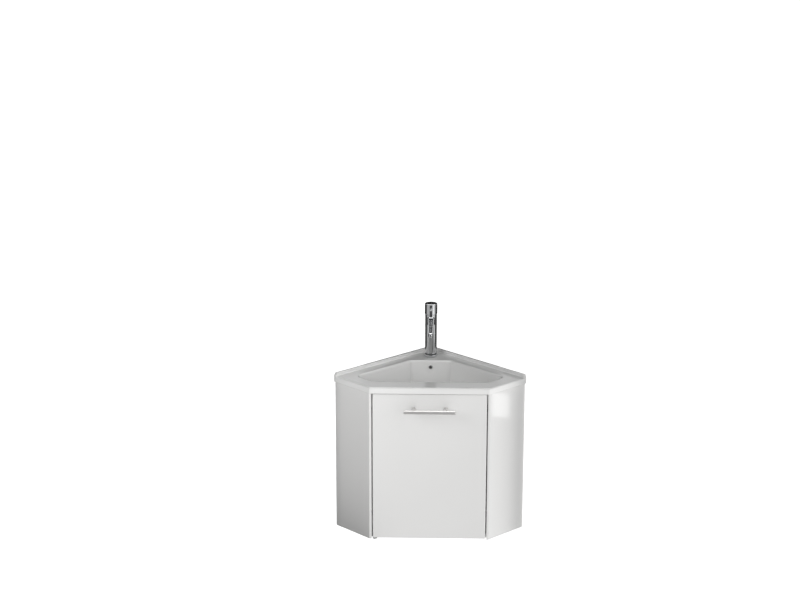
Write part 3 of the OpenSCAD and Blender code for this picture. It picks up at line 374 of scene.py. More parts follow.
def circle(radius: float, count: int, centre: Vector, right: Vector, up: Vector) -> Ring:
    """Points of a circle round a centre, from one unit direction towards the next, a quarter turn on."""
    turns = [2.0 * math.pi * i / count for i in range(count)]
    return [centre + right * (radius * math.cos(t)) + up * (radius * math.sin(t)) for t in turns]


def quarter_turn(steps: int) -> list[float]:
    """Angles from 0 to a right angle in equal steps."""
    return [math.pi / 2.0 * i / steps for i in range(steps + 1)]


def quarter_arc(radius: float, steps: int) -> list[tuple[float, float]]:
    """Pairs of inset and distance below the top of a rounded edge, from its upright side to its flat top."""
    return [(radius * (1.0 - math.cos(a)), radius * (1.0 - math.sin(a))) for a in quarter_turn(steps)]


class Workbench:
    """Modelling moves with Blender's own operators, always from a clean selection."""

    merge_gap = 2e-6
    flat_angle = 0.4
    flat_weight = 60

    @staticmethod
    def clear() -> None:
        """Leaves edit mode and deselects everything."""
        active = bpy.context.view_layer.objects.active
        if active is not None and active.mode != "OBJECT":
            bpy.ops.object.mode_set(mode="OBJECT")
        bpy.ops.object.select_all(action="DESELECT")

    @classmethod
    def pick(cls, piece: Piece) -> None:
        """Makes one piece the only selected one and the active one."""
        cls.clear()
        piece.select_set(True)
        bpy.context.view_layer.objects.active = piece

    @classmethod
    def apply(cls, piece: Piece, modifier: bpy.types.Modifier) -> None:
        """Applies one modifier of a piece."""
        cls.pick(piece)
        bpy.ops.object.modifier_apply(modifier=modifier.name)

    @classmethod
    def extrude_through(cls, name: str, rings: Sequence[Ring]) -> Piece:
        """Draws a filled outline and extrudes it from ring to ring, so that both ends are closed.

        Args:
            name: Name of the piece.
            rings: Outlines with the same number of points, from one end to the other.

        Returns:
            The closed solid.
        """
        cls.clear()
        bpy.ops.mesh.primitive_circle_add(vertices=len(rings[0]), fill_type="NGON")
        piece = bpy.context.view_layer.objects.active
        piece.name = name
        piece.data.name = name
        bpy.ops.object.mode_set(mode="EDIT")
        shape = bmesh.from_edit_mesh(piece.data)
        station = shape.verts.layers.int.new("station")
        for index, vert in enumerate(list(shape.verts)):
            vert[station] = index
            vert.co = rings[0][index]
        bmesh.update_edit_mesh(piece.data)
        for ring in rings[1:]:
            bpy.ops.mesh.extrude_region_move()
            shape = bmesh.from_edit_mesh(piece.data)
            station = shape.verts.layers.int["station"]
            for vert in shape.verts:
                if vert.select:
                    vert.co = ring[vert[station]]
            bmesh.update_edit_mesh(piece.data)
        bpy.ops.mesh.select_all(action="SELECT")
        bpy.ops.mesh.normals_make_consistent(inside=False)
        bpy.ops.object.mode_set(mode="OBJECT")
        layer = piece.data.attributes.get("station")
        if layer is not None:
            piece.data.attributes.remove(layer)
        return piece

    @classmethod
    def turn(
        cls, name: str, profile: Sequence[tuple[float, float]], centre: Vector, axis: Vector = UP,
        count: int = Facets.CASTING,
    ) -> Piece:
        """Turned solid from a profile of radii and heights along an axis.

        Args:
            name: Name of the piece.
            profile: Pairs of radius and height, from one end to the other.
            centre: Place of height 0.
            axis: Direction of the heights.
            count: Number of points round the solid.

        Returns:
            The turned solid.
        """
        along = axis.normalized()
        right = along.orthogonal().normalized()
        up = along.cross(right)
        rings = [circle(r, count, centre + along * h, right, up) for r, h in profile]
        return cls.extrude_through(name, rings)

    @classmethod
    def bore(
        cls, radius: float, low: float, high: float, centre: Sequence[float], axis: Vector = UP,
        count: int = Facets.BAR,
    ) -> Piece:
        """Plain round cutter between two heights along an axis, measured from the centre."""
        return cls.turn("bore", [(radius, low), (radius, high)], Vector(centre), axis, count)

    @classmethod
    def block(cls, name: str, low: Sequence[float], high: Sequence[float]) -> Piece:
        """Square block between its lowest and its highest corner."""
        a, b = Vector(low), Vector(high)
        outline = ((a.x, a.y), (b.x, a.y), (b.x, b.y), (a.x, b.y))
        return cls.extrude_through(name, [[Vector((x, y, z)) for x, y in outline] for z in (a.z, b.z)])

    @classmethod
    def meet(cls, piece: Piece, other: Piece, how: Join) -> None:
        """Unites, cuts or intersects a piece with another, which is used up.

        Args:
            piece: Piece that is kept.
            other: Piece that acts on it.
            how: What is done.
        """
        step = piece.modifiers.new("meet", "BOOLEAN")
        step.operation = how.value
        step.solver = "EXACT"
        step.object = other
        cls.apply(piece, step)
        bpy.data.objects.remove(other, do_unlink=True)

    @classmethod
    def mirrored(cls, piece: Piece, name: str) -> Piece:
        """Copy of a piece on the other side of the unit's middle.

        Args:
            piece: Piece to copy.
            name: Name of the copy.

        Returns:
            The copy, with its own mesh and its faces outwards.
        """
        twin = piece.copy()
        twin.data = piece.data.copy()
        twin.name = name
        bpy.context.scene.collection.objects.link(twin)
        twin.data.transform(Matrix.Scale(-1.0, 4, (1, 0, 0)))
        twin.data.flip_normals()
        return twin

    @classmethod
    def smooth(cls, piece: Piece, angle: float = 30.0) -> None:
        """Shades a piece smoothly below an edge angle, and keeps its flat faces flat.

        Args:
            piece: Piece to shade.
            angle: Edge angle in degrees.
        """
        cls.pick(piece)
        bpy.ops.object.shade_smooth_by_angle(angle=math.radians(angle))
        step = piece.modifiers.new("flat faces lead", "WEIGHTED_NORMAL")
        step.keep_sharp = True
        step.weight = cls.flat_weight
        cls.apply(piece, step)

    @classmethod
    def to_metres(cls, piece: Piece) -> None:
        """Brings a piece modelled in millimetres to metres."""
        piece.data.transform(Matrix.Scale(MM, 4))

    @classmethod
    def copy_of_node(cls, node: str, name: str) -> Piece:
        """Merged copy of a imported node, free to be worked on, in metres.

        Args:
            node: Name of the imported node.
            name: Name of the copy.

        Returns:
            The copy.
        """
        source = NODES[node]
        piece = source.copy()
        piece.data = source.data.copy()
        piece.name = name
        piece.data.name = name
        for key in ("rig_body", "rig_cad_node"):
            if key in piece:
                del piece[key]
        piece.parent = None
        piece.matrix_world = Matrix.Identity(4)
        bpy.context.scene.collection.objects.link(piece)
        cls.pick(piece)
        if piece.data.has_custom_normals:
            bpy.ops.mesh.customdata_custom_splitnormals_clear()
        bpy.ops.object.mode_set(mode="EDIT")
        bpy.ops.mesh.select_all(action="SELECT")
        bpy.ops.mesh.remove_doubles(threshold=cls.merge_gap)
        bpy.ops.mesh.dissolve_limited(angle_limit=math.radians(cls.flat_angle))
        bpy.ops.object.mode_set(mode="OBJECT")
        return piece

    @classmethod
    def break_edges(
        cls, piece: Piece, width: float, steps: int, shortest: float, angle: float = 40.0
    ) -> None:
        """Rounds the sharp edges of a piece that are long enough to take it.

        Args:
            piece: Piece in metres.
            width: Width of the rounding in metres.
            steps: Facets across it.
            shortest: Shortest edge that is rounded, in metres.
            angle: Least edge angle in degrees.
        """
        mesh = piece.data
        shape = bmesh.new()
        shape.from_mesh(mesh)
        layers, key = shape.edges.layers.float, "bevel_weight_edge"
        weight = layers.get(key) or layers.new(key)
        least = math.radians(angle)
        for edge in shape.edges:
            sharp = len(edge.link_faces) == 2 and edge.calc_face_angle(0.0) > least
            edge[weight] = 1.0 if sharp and edge.calc_length() > shortest else 0.0
        shape.to_mesh(mesh)
        shape.free()
        step = piece.modifiers.new("broken edges", "BEVEL")
        step.width = width
        step.segments = steps
        step.limit_method = "WEIGHT"
        step.use_clamp_overlap = False
        step.miter_outer = "MITER_ARC"
        cls.apply(piece, step)


def dress(piece: Piece, finish: Finish) -> None:
    """Gives every material slot of an object one finish.

    Args:
        piece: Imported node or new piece.
        finish: Finish to wear.
    """
    material = finish.material()
    if not piece.material_slots:
        piece.data.materials.append(material)
    for slot in piece.material_slots:
        slot.material = material


def dress_nodes(finish: Finish, *nodes: str) -> None:
    """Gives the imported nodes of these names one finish."""
    for node in nodes:
        dress(NODES[node], finish)


def settle(piece: Piece, body: Body, finish: Finish, *stands_for: str) -> Piece:
    """Finishes a new piece: its material, its body and the nodes that it stands for.

    Args:
        piece: New piece, in metres.
        body: Body that it rides on.
        finish: Finish to wear.
        *stands_for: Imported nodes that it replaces.

    Returns:
        The same piece.
    """
    if not piece.data.materials:
        dress(piece, finish)
    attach(piece, body.value)
    if stands_for:
        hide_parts(*stands_for)
    LOG.info("%s: %d faces", piece.name, len(piece.data.polygons))
    return piece


def hand_over(piece: Piece, body: Body, finish: Finish, node: str, angle: float = 30.0) -> Piece:
    """Brings a piece modelled in millimetres to metres, shades it and settles it.

    Args:
        piece: New piece, in millimetres.
        body: Body that it rides on.
        finish: Finish to wear.
        node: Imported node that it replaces.
        angle: Edge angle, in degrees, below which it is shaded smoothly.

    Returns:
        The same piece, in metres.
    """
    Workbench.to_metres(piece)
    Workbench.smooth(piece, angle)
    return settle(piece, body, finish, node)


def eased(
    node: str, name: str, body: Body, finish: Finish, width: float, steps: int, shortest: float,
    edge_angle: float = 40.0, angle: float = 30.0,
) -> Piece:
    """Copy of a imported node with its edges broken, which takes the node's place.

    Args:
        node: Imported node.
        name: Name of the copy.
        body: Body that it rides on.
        finish: Finish to wear.
        width: Width of the broken edge in millimetres.
        steps: Facets across it.
        shortest: Shortest edge that is broken, in millimetres.
        edge_angle: Least angle of an edge that is broken, in degrees.
        angle: Edge angle, in degrees, below which it is shaded smoothly.

    Returns:
        The copy.
    """
    piece = Workbench.copy_of_node(node, name)
    Workbench.break_edges(piece, width * MM, steps, shortest * MM, edge_angle)
    Workbench.smooth(piece, angle)
    piece.data.materials.clear()
    return settle(piece, body, finish, node)


# ---------------------------------------------------------------- sub-assemblies


@dataclass
class Carcass:
    """Lacquered return panels, inner boards and the fittings that join them."""

    arris: float = 0.6
    inner_arris: float = 0.35
    shortest: float = 6.0
    lacquered: tuple[str, ...] = ("left_return_panel", "right_return_panel")
    boards: tuple[str, ...] = (
        "bottom_panel", "left_upper_rail", "right_upper_rail", "left_lower_rail", "right_lower_rail",
        "front_rail",
    )

    def build(self) -> list[Piece]:
        """Builds the boards and dresses the fittings.

        Returns:
            The new pieces.
        """
        dress_nodes(
            ZINC, "corner_brackets", "bracket_screws", "cam_locks", "cam_bolts", "upper_pivot_plate",
            "lower_pivot_plate", "pivot_plate_screws", "pivot_pins", "catch_screws",
        )
        dress_nodes(BEECH, "wood_dowels")
        kinds = ((self.lacquered, LACQUER, self.arris), (self.boards, MELAMINE, self.inner_arris))
        return [
            eased(node, node + "_eased", Body.UNIT, finish, arris, 3, self.shortest)
            for nodes, finish, arris in kinds
            for node in nodes
        ]


@dataclass
class Door:
    """Door board with its bar handle, catch and buffers."""

    arris: float = 0.7
    shortest: float = 12.0
    bar_length: float = 155.0
    bar_radius: float = 6.0
    bar_end_round: float = 1.6
    bar_y: float = -429.394
    bar_z: float = 420.5
    face_y: float = -397.394
    post_spacing: float = 96.0
    post_radius: float = 5.0
    post_foot: float = 0.8
    saddle: float = 30.0
    case_h: float = 8.0
    pole_proud: float = 0.4
    case_arris: float = 0.3
    case_shortest: float = 2.0

    def board(self) -> Piece:
        """Door board with eased edges."""
        return eased("door_panel", "door_board", Body.DOOR, LACQUER, self.arris, 3, self.shortest)

    def bar(self) -> Piece:
        """Bar of the handle, turned with softly rounded ends."""
        half, r, e = self.bar_length / 2, self.bar_radius, self.bar_end_round
        end = [(r - inset, half - drop) for inset, drop in quarter_arc(e, 6)]
        profile = [(radius, -height) for radius, height in reversed(end)] + end
        centre = Vector((0, self.bar_y, self.bar_z))
        piece = Workbench.turn("handle_bar_turned", profile, centre, SIDEWAYS, Facets.BAR)
        return hand_over(piece, Body.DOOR, BRUSHED, "handle_bar")

    def posts(self) -> Piece:
        """Two posts, flared a little where they meet the door and saddled to the bar."""
        length = abs(self.bar_y - self.face_y)
        r, f = self.post_radius, self.post_foot
        foot = [(r + f * (1 - math.sin(a)), f * (1 - math.cos(a))) for a in quarter_turn(5)]
        both: list[Piece] = []
        for side in (-1, 1):
            x = side * self.post_spacing / 2
            centre = Vector((x, self.face_y, self.bar_z))
            profile = [*foot, (r, length)]
            post = Workbench.turn("handle_posts_turned", profile, centre, FORWARD, Facets.POST)
            middle = (x, self.bar_y, self.bar_z)
            bar = Workbench.bore(self.bar_radius, -self.saddle, self.saddle, middle, SIDEWAYS)
            Workbench.meet(post, bar, Join.CUT)
            both.append(post)
        Workbench.meet(both[0], both[1], Join.UNITE)
        return hand_over(both[0], Body.DOOR, BRUSHED_POST, "handle_posts")

    def catch(self) -> Piece:
        """Magnetic catch: a grey case with two steel poles beside a black magnet."""
        piece = Workbench.copy_of_node("magnetic_catch", "catch_case")
        piece.data.materials.clear()
        for finish in (GREY_PLASTIC, ZINC, RUBBER):
            piece.data.materials.append(finish.material())
        front_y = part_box("magnetic_catch")[0].y
        shape = bmesh.new()
        shape.from_mesh(piece.data)
        bmesh.ops.recalc_face_normals(shape, faces=shape.faces)
        left = set(shape.verts)
        while left:
            part, queue = set(), [next(iter(left))]
            while queue:
                vert = queue.pop()
                if vert not in part:
                    part.add(vert)
                    queue.extend(edge.other_vert(vert) for edge in vert.link_edges)
            left -= part
            heights = [vert.co.z for vert in part]
            proud = min(vert.co.y for vert in part) < front_y + self.pole_proud * MM
            index = 0 if max(heights) - min(heights) > self.case_h * MM else (1 if proud else 2)
            for face in {face for vert in part for face in vert.link_faces}:
                face.material_index = index
        shape.to_mesh(piece.data)
        shape.free()
        Workbench.break_edges(piece, self.case_arris * MM, 2, self.case_shortest * MM)
        Workbench.smooth(piece)
        return settle(piece, Body.UNIT, GREY_PLASTIC, "magnetic_catch")

    def build(self) -> list[Piece]:
        """Builds the door's pieces and dresses its small fittings.

        Returns:
            The new pieces.
        """
        dress_nodes(ZINC, "handle_screws", "strike_plate")
        dress_nodes(GREY_PLASTIC, "pivot_bushes")
        dress_nodes(CLEAR, "door_buffers")
        return [self.board(), self.bar(), self.posts(), self.catch()]


@dataclass
class Basin:
    """Corner basin in one glazed casting: rim, splash lips, bowl and the overflow's rib."""

    side: float = 415.0
    straight: float = 160.0
    base_z: float = 470.0
    rim_h: float = 20.0
    lip_h: float = 10.0
    lip_w: float = 9.0
    lip_round: float = 2.5
    lip_fillet: float = 3.0
    lip_end: float = 5.0
    lip_back_round: float = 0.8
    lip_end_round: float = 3.0
    rim_round: float = 5.0
    under_round: float = 2.0
    corner_r: float = 8.0
    front_margin: float = 61.0
    side_margin: float = 50.0
    wall_margin: float = 48.0
    back: float = 131.0
    back_r: float = 10.0
    tip_r: float = 20.0
    edge_r: float = 6.0
    depth: float = 115.0
    wall: float = 8.0
    floor: float = 12.0
    waste_from_corner: float = 250.0
    waste_d: float = 45.0
    tap_from_corner: float = 80.0
    tap_d: float = 35.0
    overflow_d: float = 10.0
    overflow_drop: float = 21.0
    channel_d: float = 8.0
    channel_wall: float = 4.0
    channel_setback: float = 13.0
    shell_start: float = 6.0
    rib_round: float = 3.0
    overrun: float = 1.0
    sunk: float = 0.03
    corner_steps: int = 6
    arc_steps: int = 14
    straight_steps: tuple[int, ...] = (12, 5, 14, 5, 12, 8)
    shell_rings: int = 24
    hollow_rings: int = 32
    floor_stations: tuple[tuple[float, float], ...] = ((-46.0, -172.0), (-112.0, -268.0), (-92.0, -297.0))

    @property
    def rim_top(self) -> float:
        """Height of the deck."""
        return self.base_z + self.rim_h

    @property
    def front(self) -> float:
        """Distance from the corner to the front edge."""
        return (self.side + self.straight) / ROOT2

    def rim_ring(self, inset: float, z: float) -> Ring:
        """Outline of the rim at one level.

        Args:
            inset: How far the free edges lie inside the outline.
            z: Height.

        Returns:
            The outline's points.
        """
        cu = self.side - self.corner_r
        cv = self.side + self.straight - self.corner_r * ROOT2 - cu
        r = self.corner_r - inset
        turns = [math.pi / 4 * i / self.corner_steps for i in range(self.corner_steps + 1)]
        points = [at_walls(0, 0, z), at_walls(self.side - inset, 0, z)]
        for u, v, first in ((cu, cv, 0.0), (cv, cu, math.pi / 4)):
            arc = [first + t for t in turns]
            points += [at_walls(u + r * math.cos(t), v + r * math.sin(t), z) for t in arc]
        points.append(at_walls(0, self.side - inset, z))
        return points

    def rim(self) -> Piece:
        """Rim slab with rounded free edges."""
        under = [(inset, self.base_z + drop) for inset, drop in reversed(quarter_arc(self.under_round, 4))]
        top = [(inset, self.rim_top - drop) for inset, drop in quarter_arc(self.rim_round, 10)]
        return Workbench.extrude_through("basin_casting", [self.rim_ring(i, z) for i, z in [*under, *top]])

    def lip_section(self, u: float) -> Ring:
        """Section of the splash lip across the left wall, with a fillet at its foot.

        Args:
            u: Distance from the corner.

        Returns:
            The section's points.
        """
        top, low = self.rim_top + self.lip_h, self.rim_top - self.rim_round
        w, r, f, e = self.lip_w, self.lip_round, self.lip_fillet, self.lip_back_round
        deck = self.rim_top - self.sunk
        points = [(0.0, low), (w + f, low)]
        points += [(w + f - f * math.sin(a), deck + f * (1 - math.cos(a))) for a in quarter_turn(8)]
        points += [(w - r + r * math.cos(a), top - r + r * math.sin(a)) for a in quarter_turn(8)]
        points += [(e - e * math.sin(a), top - e + e * math.cos(a)) for a in quarter_turn(4)]
        return [at_walls(u, v, z) for v, z in points]

    def lip(self) -> Piece:
        """Splash lip along the left wall, sloped and rounded at its outer end."""
        lip = Workbench.extrude_through("lip", [self.lip_section(0.0), self.lip_section(self.side)])
        top, low = self.rim_top + self.lip_h, self.rim_top - self.rim_round
        start = Vector((self.side - self.lip_end, top))
        slope = (Vector((self.side, self.rim_top)) - start).normalized()
        reach = self.lip_end_round * math.tan(math.acos(slope.x) / 2.0)
        arc_from, arc_to = start - Vector((reach, 0.0)), start + slope * reach
        shares = [i / self.corner_steps for i in range(self.corner_steps + 1)]
        curve = [arc_from * (1 - t) ** 2 + start * (2 * t * (1 - t)) + arc_to * t**2 for t in shares]
        over = self.overrun
        outline = [(-over, low - over), (self.side, low - over), (self.side, self.rim_top)]
        outline += [(p.x, min(p.y, top)) for p in reversed(curve)] + [(-over, top + over / 2)]
        sides = (-over, self.lip_w + self.lip_fillet + over)
        ends = [[at_walls(u, v, z) for u, z in outline] for v in sides]
        Workbench.meet(lip, Workbench.extrude_through("lip_end", ends), Join.KEEP)
        return lip

    def bowl_ring(self, sink: float, grow: float, z: float) -> Ring:
        """Outline of the bowl at one level, made of six arcs and the straights between them.

        Args:
            sink: 0 at the rim's outline, 1 at the floor's.
            grow: How far the outline is widened all round.
            z: Height.

        Returns:
            The outline's points, counterclockwise from above.
        """
        tip_u = self.side - self.side_margin - self.tip_r
        back_v = self.wall_margin + self.back_r
        rim = (
            at_walls((self.back + self.back_r) * ROOT2 - back_v, back_v),
            at_walls(tip_u, self.wall_margin + self.tip_r),
            at_walls(tip_u, (self.front - self.front_margin - self.tip_r) * ROOT2 - tip_u),
        )
        radii = (self.back_r, self.tip_r, self.tip_r)
        left = [
            (Vector((p.x + (q[0] - p.x) * sink, p.y + (q[1] - p.y) * sink)), r + grow)
            for p, q, r in zip(rim, self.floor_stations, radii)
        ]
        loop = left + [(Vector((-c.x, c.y)), r) for c, r in reversed(left)]
        normals = []
        for (a, ra), (b, rb) in zip(loop, loop[1:] + loop[:1]):
            along = b - a
            heading = math.atan2(along.y, along.x)
            normals.append(heading - math.acos((ra - rb) / along.length))
        points: Ring = []
        for k, (c, r) in enumerate(loop):
            start, end = normals[k - 1], normals[k]
            while end < start:
                end += 2 * math.pi
            while end - start > 2 * math.pi:
                end -= 2 * math.pi
            arc = [start + (end - start) * i / self.arc_steps for i in range(self.arc_steps + 1)]
            points += [Vector((c.x + r * math.cos(t), c.y + r * math.sin(t), z)) for t in arc]
            nxt, rn = loop[(k + 1) % len(loop)]
            last, steps = points[-1], self.straight_steps[k]
            goal = Vector((nxt.x + rn * math.cos(end), nxt.y + rn * math.sin(end), z))
            points += [last.lerp(goal, i / steps) for i in range(1, steps)]
        return points

    def shell(self) -> Piece:
        """Outside of the bowl."""
        full, deck, count = self.depth + self.floor, self.rim_top, self.shell_rings
        first = math.asin(self.shell_start / full)
        angles = [first + (math.pi / 2 - first) * i / count for i in range(count + 1)]
        rings = [self.bowl_ring(1 - math.cos(a), self.wall, deck - full * math.sin(a)) for a in angles]
        return Workbench.extrude_through("bowl_shell", rings)

    def hollow(self) -> Piece:
        """Inside of the bowl, with its rounded upper edge."""
        edge, deck, count = self.edge_r, self.rim_top, self.hollow_rings
        rings = [self.bowl_ring(0.0, edge, deck + 3 * self.overrun)]
        for a in quarter_turn(10):
            rings.append(self.bowl_ring(0.0, edge * (1 - math.sin(a)), deck - edge * (1 - math.cos(a))))
        first = math.asin(edge / self.depth)
        for a in (first + (math.pi / 2 - first) * i / count for i in range(1, count + 1)):
            rings.append(self.bowl_ring(1 - math.cos(a), 0.0, deck - self.depth * math.sin(a)))
        return Workbench.extrude_through("bowl_hollow", rings)

    def rib(self) -> Piece:
        """Rib behind the bowl that holds the overflow's channel."""
        half = self.channel_d / 2 + self.channel_wall
        shaft = -self.back + self.channel_setback
        low = (-half, self.floor_stations[0][1], self.rim_top - self.depth - self.floor)
        rib = Workbench.block("rib", low, (half, shaft + half, self.rim_top - self.rim_h / 2))
        step = rib.modifiers.new("rounded", "BEVEL")
        step.width, step.segments = self.rib_round, 4
        Workbench.apply(rib, step)
        return rib

    def bores(self) -> list[Piece]:
        """Bores for the tap, the waste and the overflow with its channel."""
        floor_z = self.rim_top - self.depth
        hole_z = self.rim_top - self.overflow_drop
        shaft = -self.back + self.channel_setback
        low = floor_z - self.floor / 2
        bore, over, channel = Workbench.bore, self.overrun, self.channel_d / 2
        tap, waste = (0, -self.tap_from_corner, 0), (0, -self.waste_from_corner, 0)
        hole = (0, shaft, hole_z)
        return [
            bore(self.tap_d / 2, self.base_z - over, self.rim_top + over, tap),
            bore(self.waste_d / 2, floor_z - self.floor - over, floor_z + over, waste),
            bore(self.overflow_d / 2, 0, 2 * self.channel_setback, hole, FORWARD, Facets.OVERFLOW),
            bore(channel, low, hole_z, (0, shaft, 0), UP, Facets.CHANNEL),
            bore(channel, 0, self.waste_from_corner + shaft, (0, shaft, low), FORWARD, Facets.CHANNEL),
        ]

    def build(self) -> list[Piece]:
        """Builds the casting and dresses the overflow's ring.

        Returns:
            The new piece.
        """
        casting = self.rim()
        lip = self.lip()
        twin = Workbench.mirrored(lip, "lip_right")
        for other in (self.shell(), self.rib(), lip, twin):
            Workbench.meet(casting, other, Join.UNITE)
        for cutter in (self.hollow(), *self.bores()):
            Workbench.meet(casting, cutter, Join.CUT)
        dress_nodes(CHROME, "overflow_ring")
        return [hand_over(casting, Body.UNIT, CERAMIC, "basin", 32.0)]


@dataclass
class Tap:
    """Single-lever mixer: a blended body and spout, a cap with a pin lever, and what holds it."""

    tap_y: float = -80.0
    base_z: float = 491.0
    seam_z: float = 628.0
    body_r: float = 18.5
    foot_r: float = 21.0
    foot_h: float = 4.0
    flare_h: float = 10.0
    root_r: float = 11.0
    root_low: float = 30.0
    root_high: float = 2.0
    root_edge: float = 8.0
    reach: float = 105.0
    tip_r: float = 7.5
    tip_low: float = 45.5
    tip_h: float = 13.8
    tip_edge: float = 4.5
    blend: float = 5.0
    grid: float = 0.9
    cap_r: float = 19.9
    cap_h: float = 33.4
    cap_z: float = 629.5
    cap_round: float = 2.0
    hollow_r: float = 16.2
    hollow_h: float = 15.3
    lift: float = 20.0
    tilt_z: float = 637.8
    lever_z: float = 647.8
    lever_r: float = 3.0
    lever_rise: float = 6.0
    lever_from: float = 10.0
    lever_to: float = 64.9
    lever_round: float = 1.2
    lever_hole_to: float = 30.0
    wedge_reach: float = 60.0
    chamber_r: float = 12.5
    chamber_depth: float = 40.0
    thread_r: float = 14.0
    thread_depth: float = 6.0
    outlet_r: float = 6.0
    outlet_depth: float = 9.0
    stud_r: float = 4.0
    stud_back: float = 10.0
    supply_r: float = 4.5
    supply_aside: float = 8.5
    supply_ahead: float = 3.0
    foot_depth: float = 12.0
    cap_foot: tuple[tuple[float, float], ...] = ((0.4, 0.0), (0.12, 0.12), (0.0, 0.4))
    cap_top_rings: tuple[float, ...] = (12.0, 6.0)
    grub_r: float = 2.5
    grub_from: float = 4.0
    grub_to: float = 24.0
    grub_up: float = 3.0
    socket_half: float = 4.0
    socket_h: float = 13.0
    overrun: float = 1.0
    oversize: float = 3.0
    tip_share: float = 0.7
    spout_rings: int = 10
    slope_step: float = 0.02
    fit_rounds: int = 6
    least_slope: float = 0.05
    longest_step: float = 1.5
    skin_band: float = 0.12
    least_facing: float = 0.8

    def skin(self, points: np.ndarray) -> np.ndarray:
        """Signed distance of points from the blended body and spout, roughly in millimetres.

        Args:
            points: Places, one in each row.

        Returns:
            Negative inside, positive outside.
        """
        x, y, z = points[:, 0], points[:, 1] - self.tap_y, points[:, 2]
        rise = np.clip((z - self.base_z - self.foot_h) / self.flare_h, 0.0, 1.0)
        radius = self.foot_r + (self.body_r - self.foot_r) * (rise * rise * (3 - 2 * rise))
        body = np.hypot(x, y) - radius
        s = np.clip(-y / self.reach, 0.0, 1.0)
        wide = self.root_r + (self.tip_r - self.root_r) * s
        root_mid = self.seam_z - (self.root_low + self.root_high) / 2
        tip_mid = self.seam_z - self.tip_low + self.tip_h / 2
        middle = root_mid + (tip_mid - root_mid) * s
        high = (self.root_low - self.root_high) / 2
        high = high + (self.tip_h / 2 - high) * s
        edge = self.root_edge + (self.tip_edge - self.root_edge) * s
        plan = np.hypot(x, y + s * self.reach) - wide + edge
        tall = np.abs(z - middle) - high + edge
        outside = np.hypot(np.maximum(plan, 0), np.maximum(tall, 0))
        spout = np.minimum(np.maximum(plan, tall), 0.0) + outside - edge
        gap = np.maximum(self.blend - np.abs(body - spout), 0.0) / self.blend
        return np.minimum(body, spout) - gap**3 * self.blend / 6.0

    def gradient(self, points: np.ndarray) -> np.ndarray:
        """How fast the distance from the skin grows along each axis.

        Args:
            points: Places, one in each row.

        Returns:
            One slope for each point.
        """
        step = self.slope_step
        offsets = np.eye(3) * step
        rows = [(self.skin(points + offset) - self.skin(points - offset)) / (2 * step) for offset in offsets]
        return np.stack(rows, axis=1)

    def rough_body(self) -> Piece:
        """Plain body and spout, a little oversize, for the mesh to start from."""
        profile = [
            (self.foot_r, self.base_z - self.oversize),
            (self.foot_r, self.base_z + self.foot_h),
            (self.body_r, self.base_z + self.foot_h + self.flare_h),
            (self.body_r, self.seam_z + self.oversize),
        ]
        body = Workbench.turn("tap_body_blended", profile, Vector((0, self.tap_y, 0)))
        rings = []
        for i in range(self.spout_rings + 1):
            s = i / self.spout_rings
            wide = self.root_r + (self.tip_r - self.root_r) * s
            top = self.seam_z - self.root_high + (self.tip_h - self.tip_low + self.root_high) * s
            low = self.seam_z - self.root_low + (self.root_low - self.tip_low) * s
            y = self.tap_y - self.reach * s - (self.tip_r * self.tip_share if i == self.spout_rings else 0)
            rings.append([Vector((a * wide, y, z)) for a, z in ((-1, low), (1, low), (1, top), (-1, top))])
        Workbench.meet(body, Workbench.extrude_through("spout", rings), Join.UNITE)
        return body

    def body(self) -> Piece:
        """Body and spout as one blended casting, bored for the cartridge, the supplies and the aerator."""
        piece = self.rough_body()
        Workbench.pick(piece)
        piece.data.remesh_voxel_size = self.grid
        piece.data.remesh_voxel_adaptivity = 0.0
        bpy.ops.object.voxel_remesh()
        mesh = piece.data
        place = np.empty(len(mesh.vertices) * 3, np.float32)
        mesh.vertices.foreach_get("co", place)
        points = place.reshape(-1, 3).astype(float)
        heights, margin = points[:, 2], 2 * self.overrun
        inner = (heights > self.base_z - margin) & (heights < self.seam_z + margin)
        for _ in range(self.fit_rounds):
            slope = self.gradient(points[inner])
            size = np.maximum((slope**2).sum(axis=1), self.least_slope)
            step = (self.skin(points[inner]) / size)[:, None] * slope
            points[inner] -= np.clip(step, -self.longest_step, self.longest_step)
        mesh.vertices.foreach_set("co", points.astype(np.float32).ravel())
        mesh.update()
        for z, above in ((self.seam_z, True), (self.base_z, False)):
            Workbench.pick(piece)
            bpy.ops.object.mode_set(mode="EDIT")
            bpy.ops.mesh.select_all(action="SELECT")
            bpy.ops.mesh.bisect(
                plane_co=(0, self.tap_y, z), plane_no=(0, 0, 1), use_fill=True, clear_outer=above,
                clear_inner=not above, threshold=0.0001,
            )
            bpy.ops.object.mode_set(mode="OBJECT")
        for bore in self.body_bores():
            Workbench.meet(piece, bore, Join.CUT)
        self.shade_skin(piece)
        Workbench.to_metres(piece)
        return settle(piece, Body.UNIT, CHROME, "tap_body")

    def body_bores(self) -> list[Piece]:
        """Bores for the cartridge, the aerator, the stud and the two supplies."""
        bore, over, y = Workbench.bore, self.overrun, self.tap_y
        above, below, depth = self.seam_z + over, self.base_z - over, self.base_z + self.foot_depth
        lip_z = self.seam_z - self.tip_low - over
        supply_y = y - self.supply_ahead
        return [
            bore(self.chamber_r, self.seam_z - self.chamber_depth, above, (0, y, 0)),
            bore(self.thread_r, self.seam_z - self.thread_depth, above, (0, y, 0)),
            bore(self.outlet_r, -over, self.outlet_depth + over, (0, y - self.reach, lip_z), UP, Facets.POST),
            bore(self.stud_r, below, depth, (0, y + self.stud_back, 0), UP, Facets.CHANNEL),
            bore(self.supply_r, below, depth, (-self.supply_aside, supply_y, 0), UP, Facets.CHANNEL),
            bore(self.supply_r, below, depth, (self.supply_aside, supply_y, 0), UP, Facets.CHANNEL),
        ]

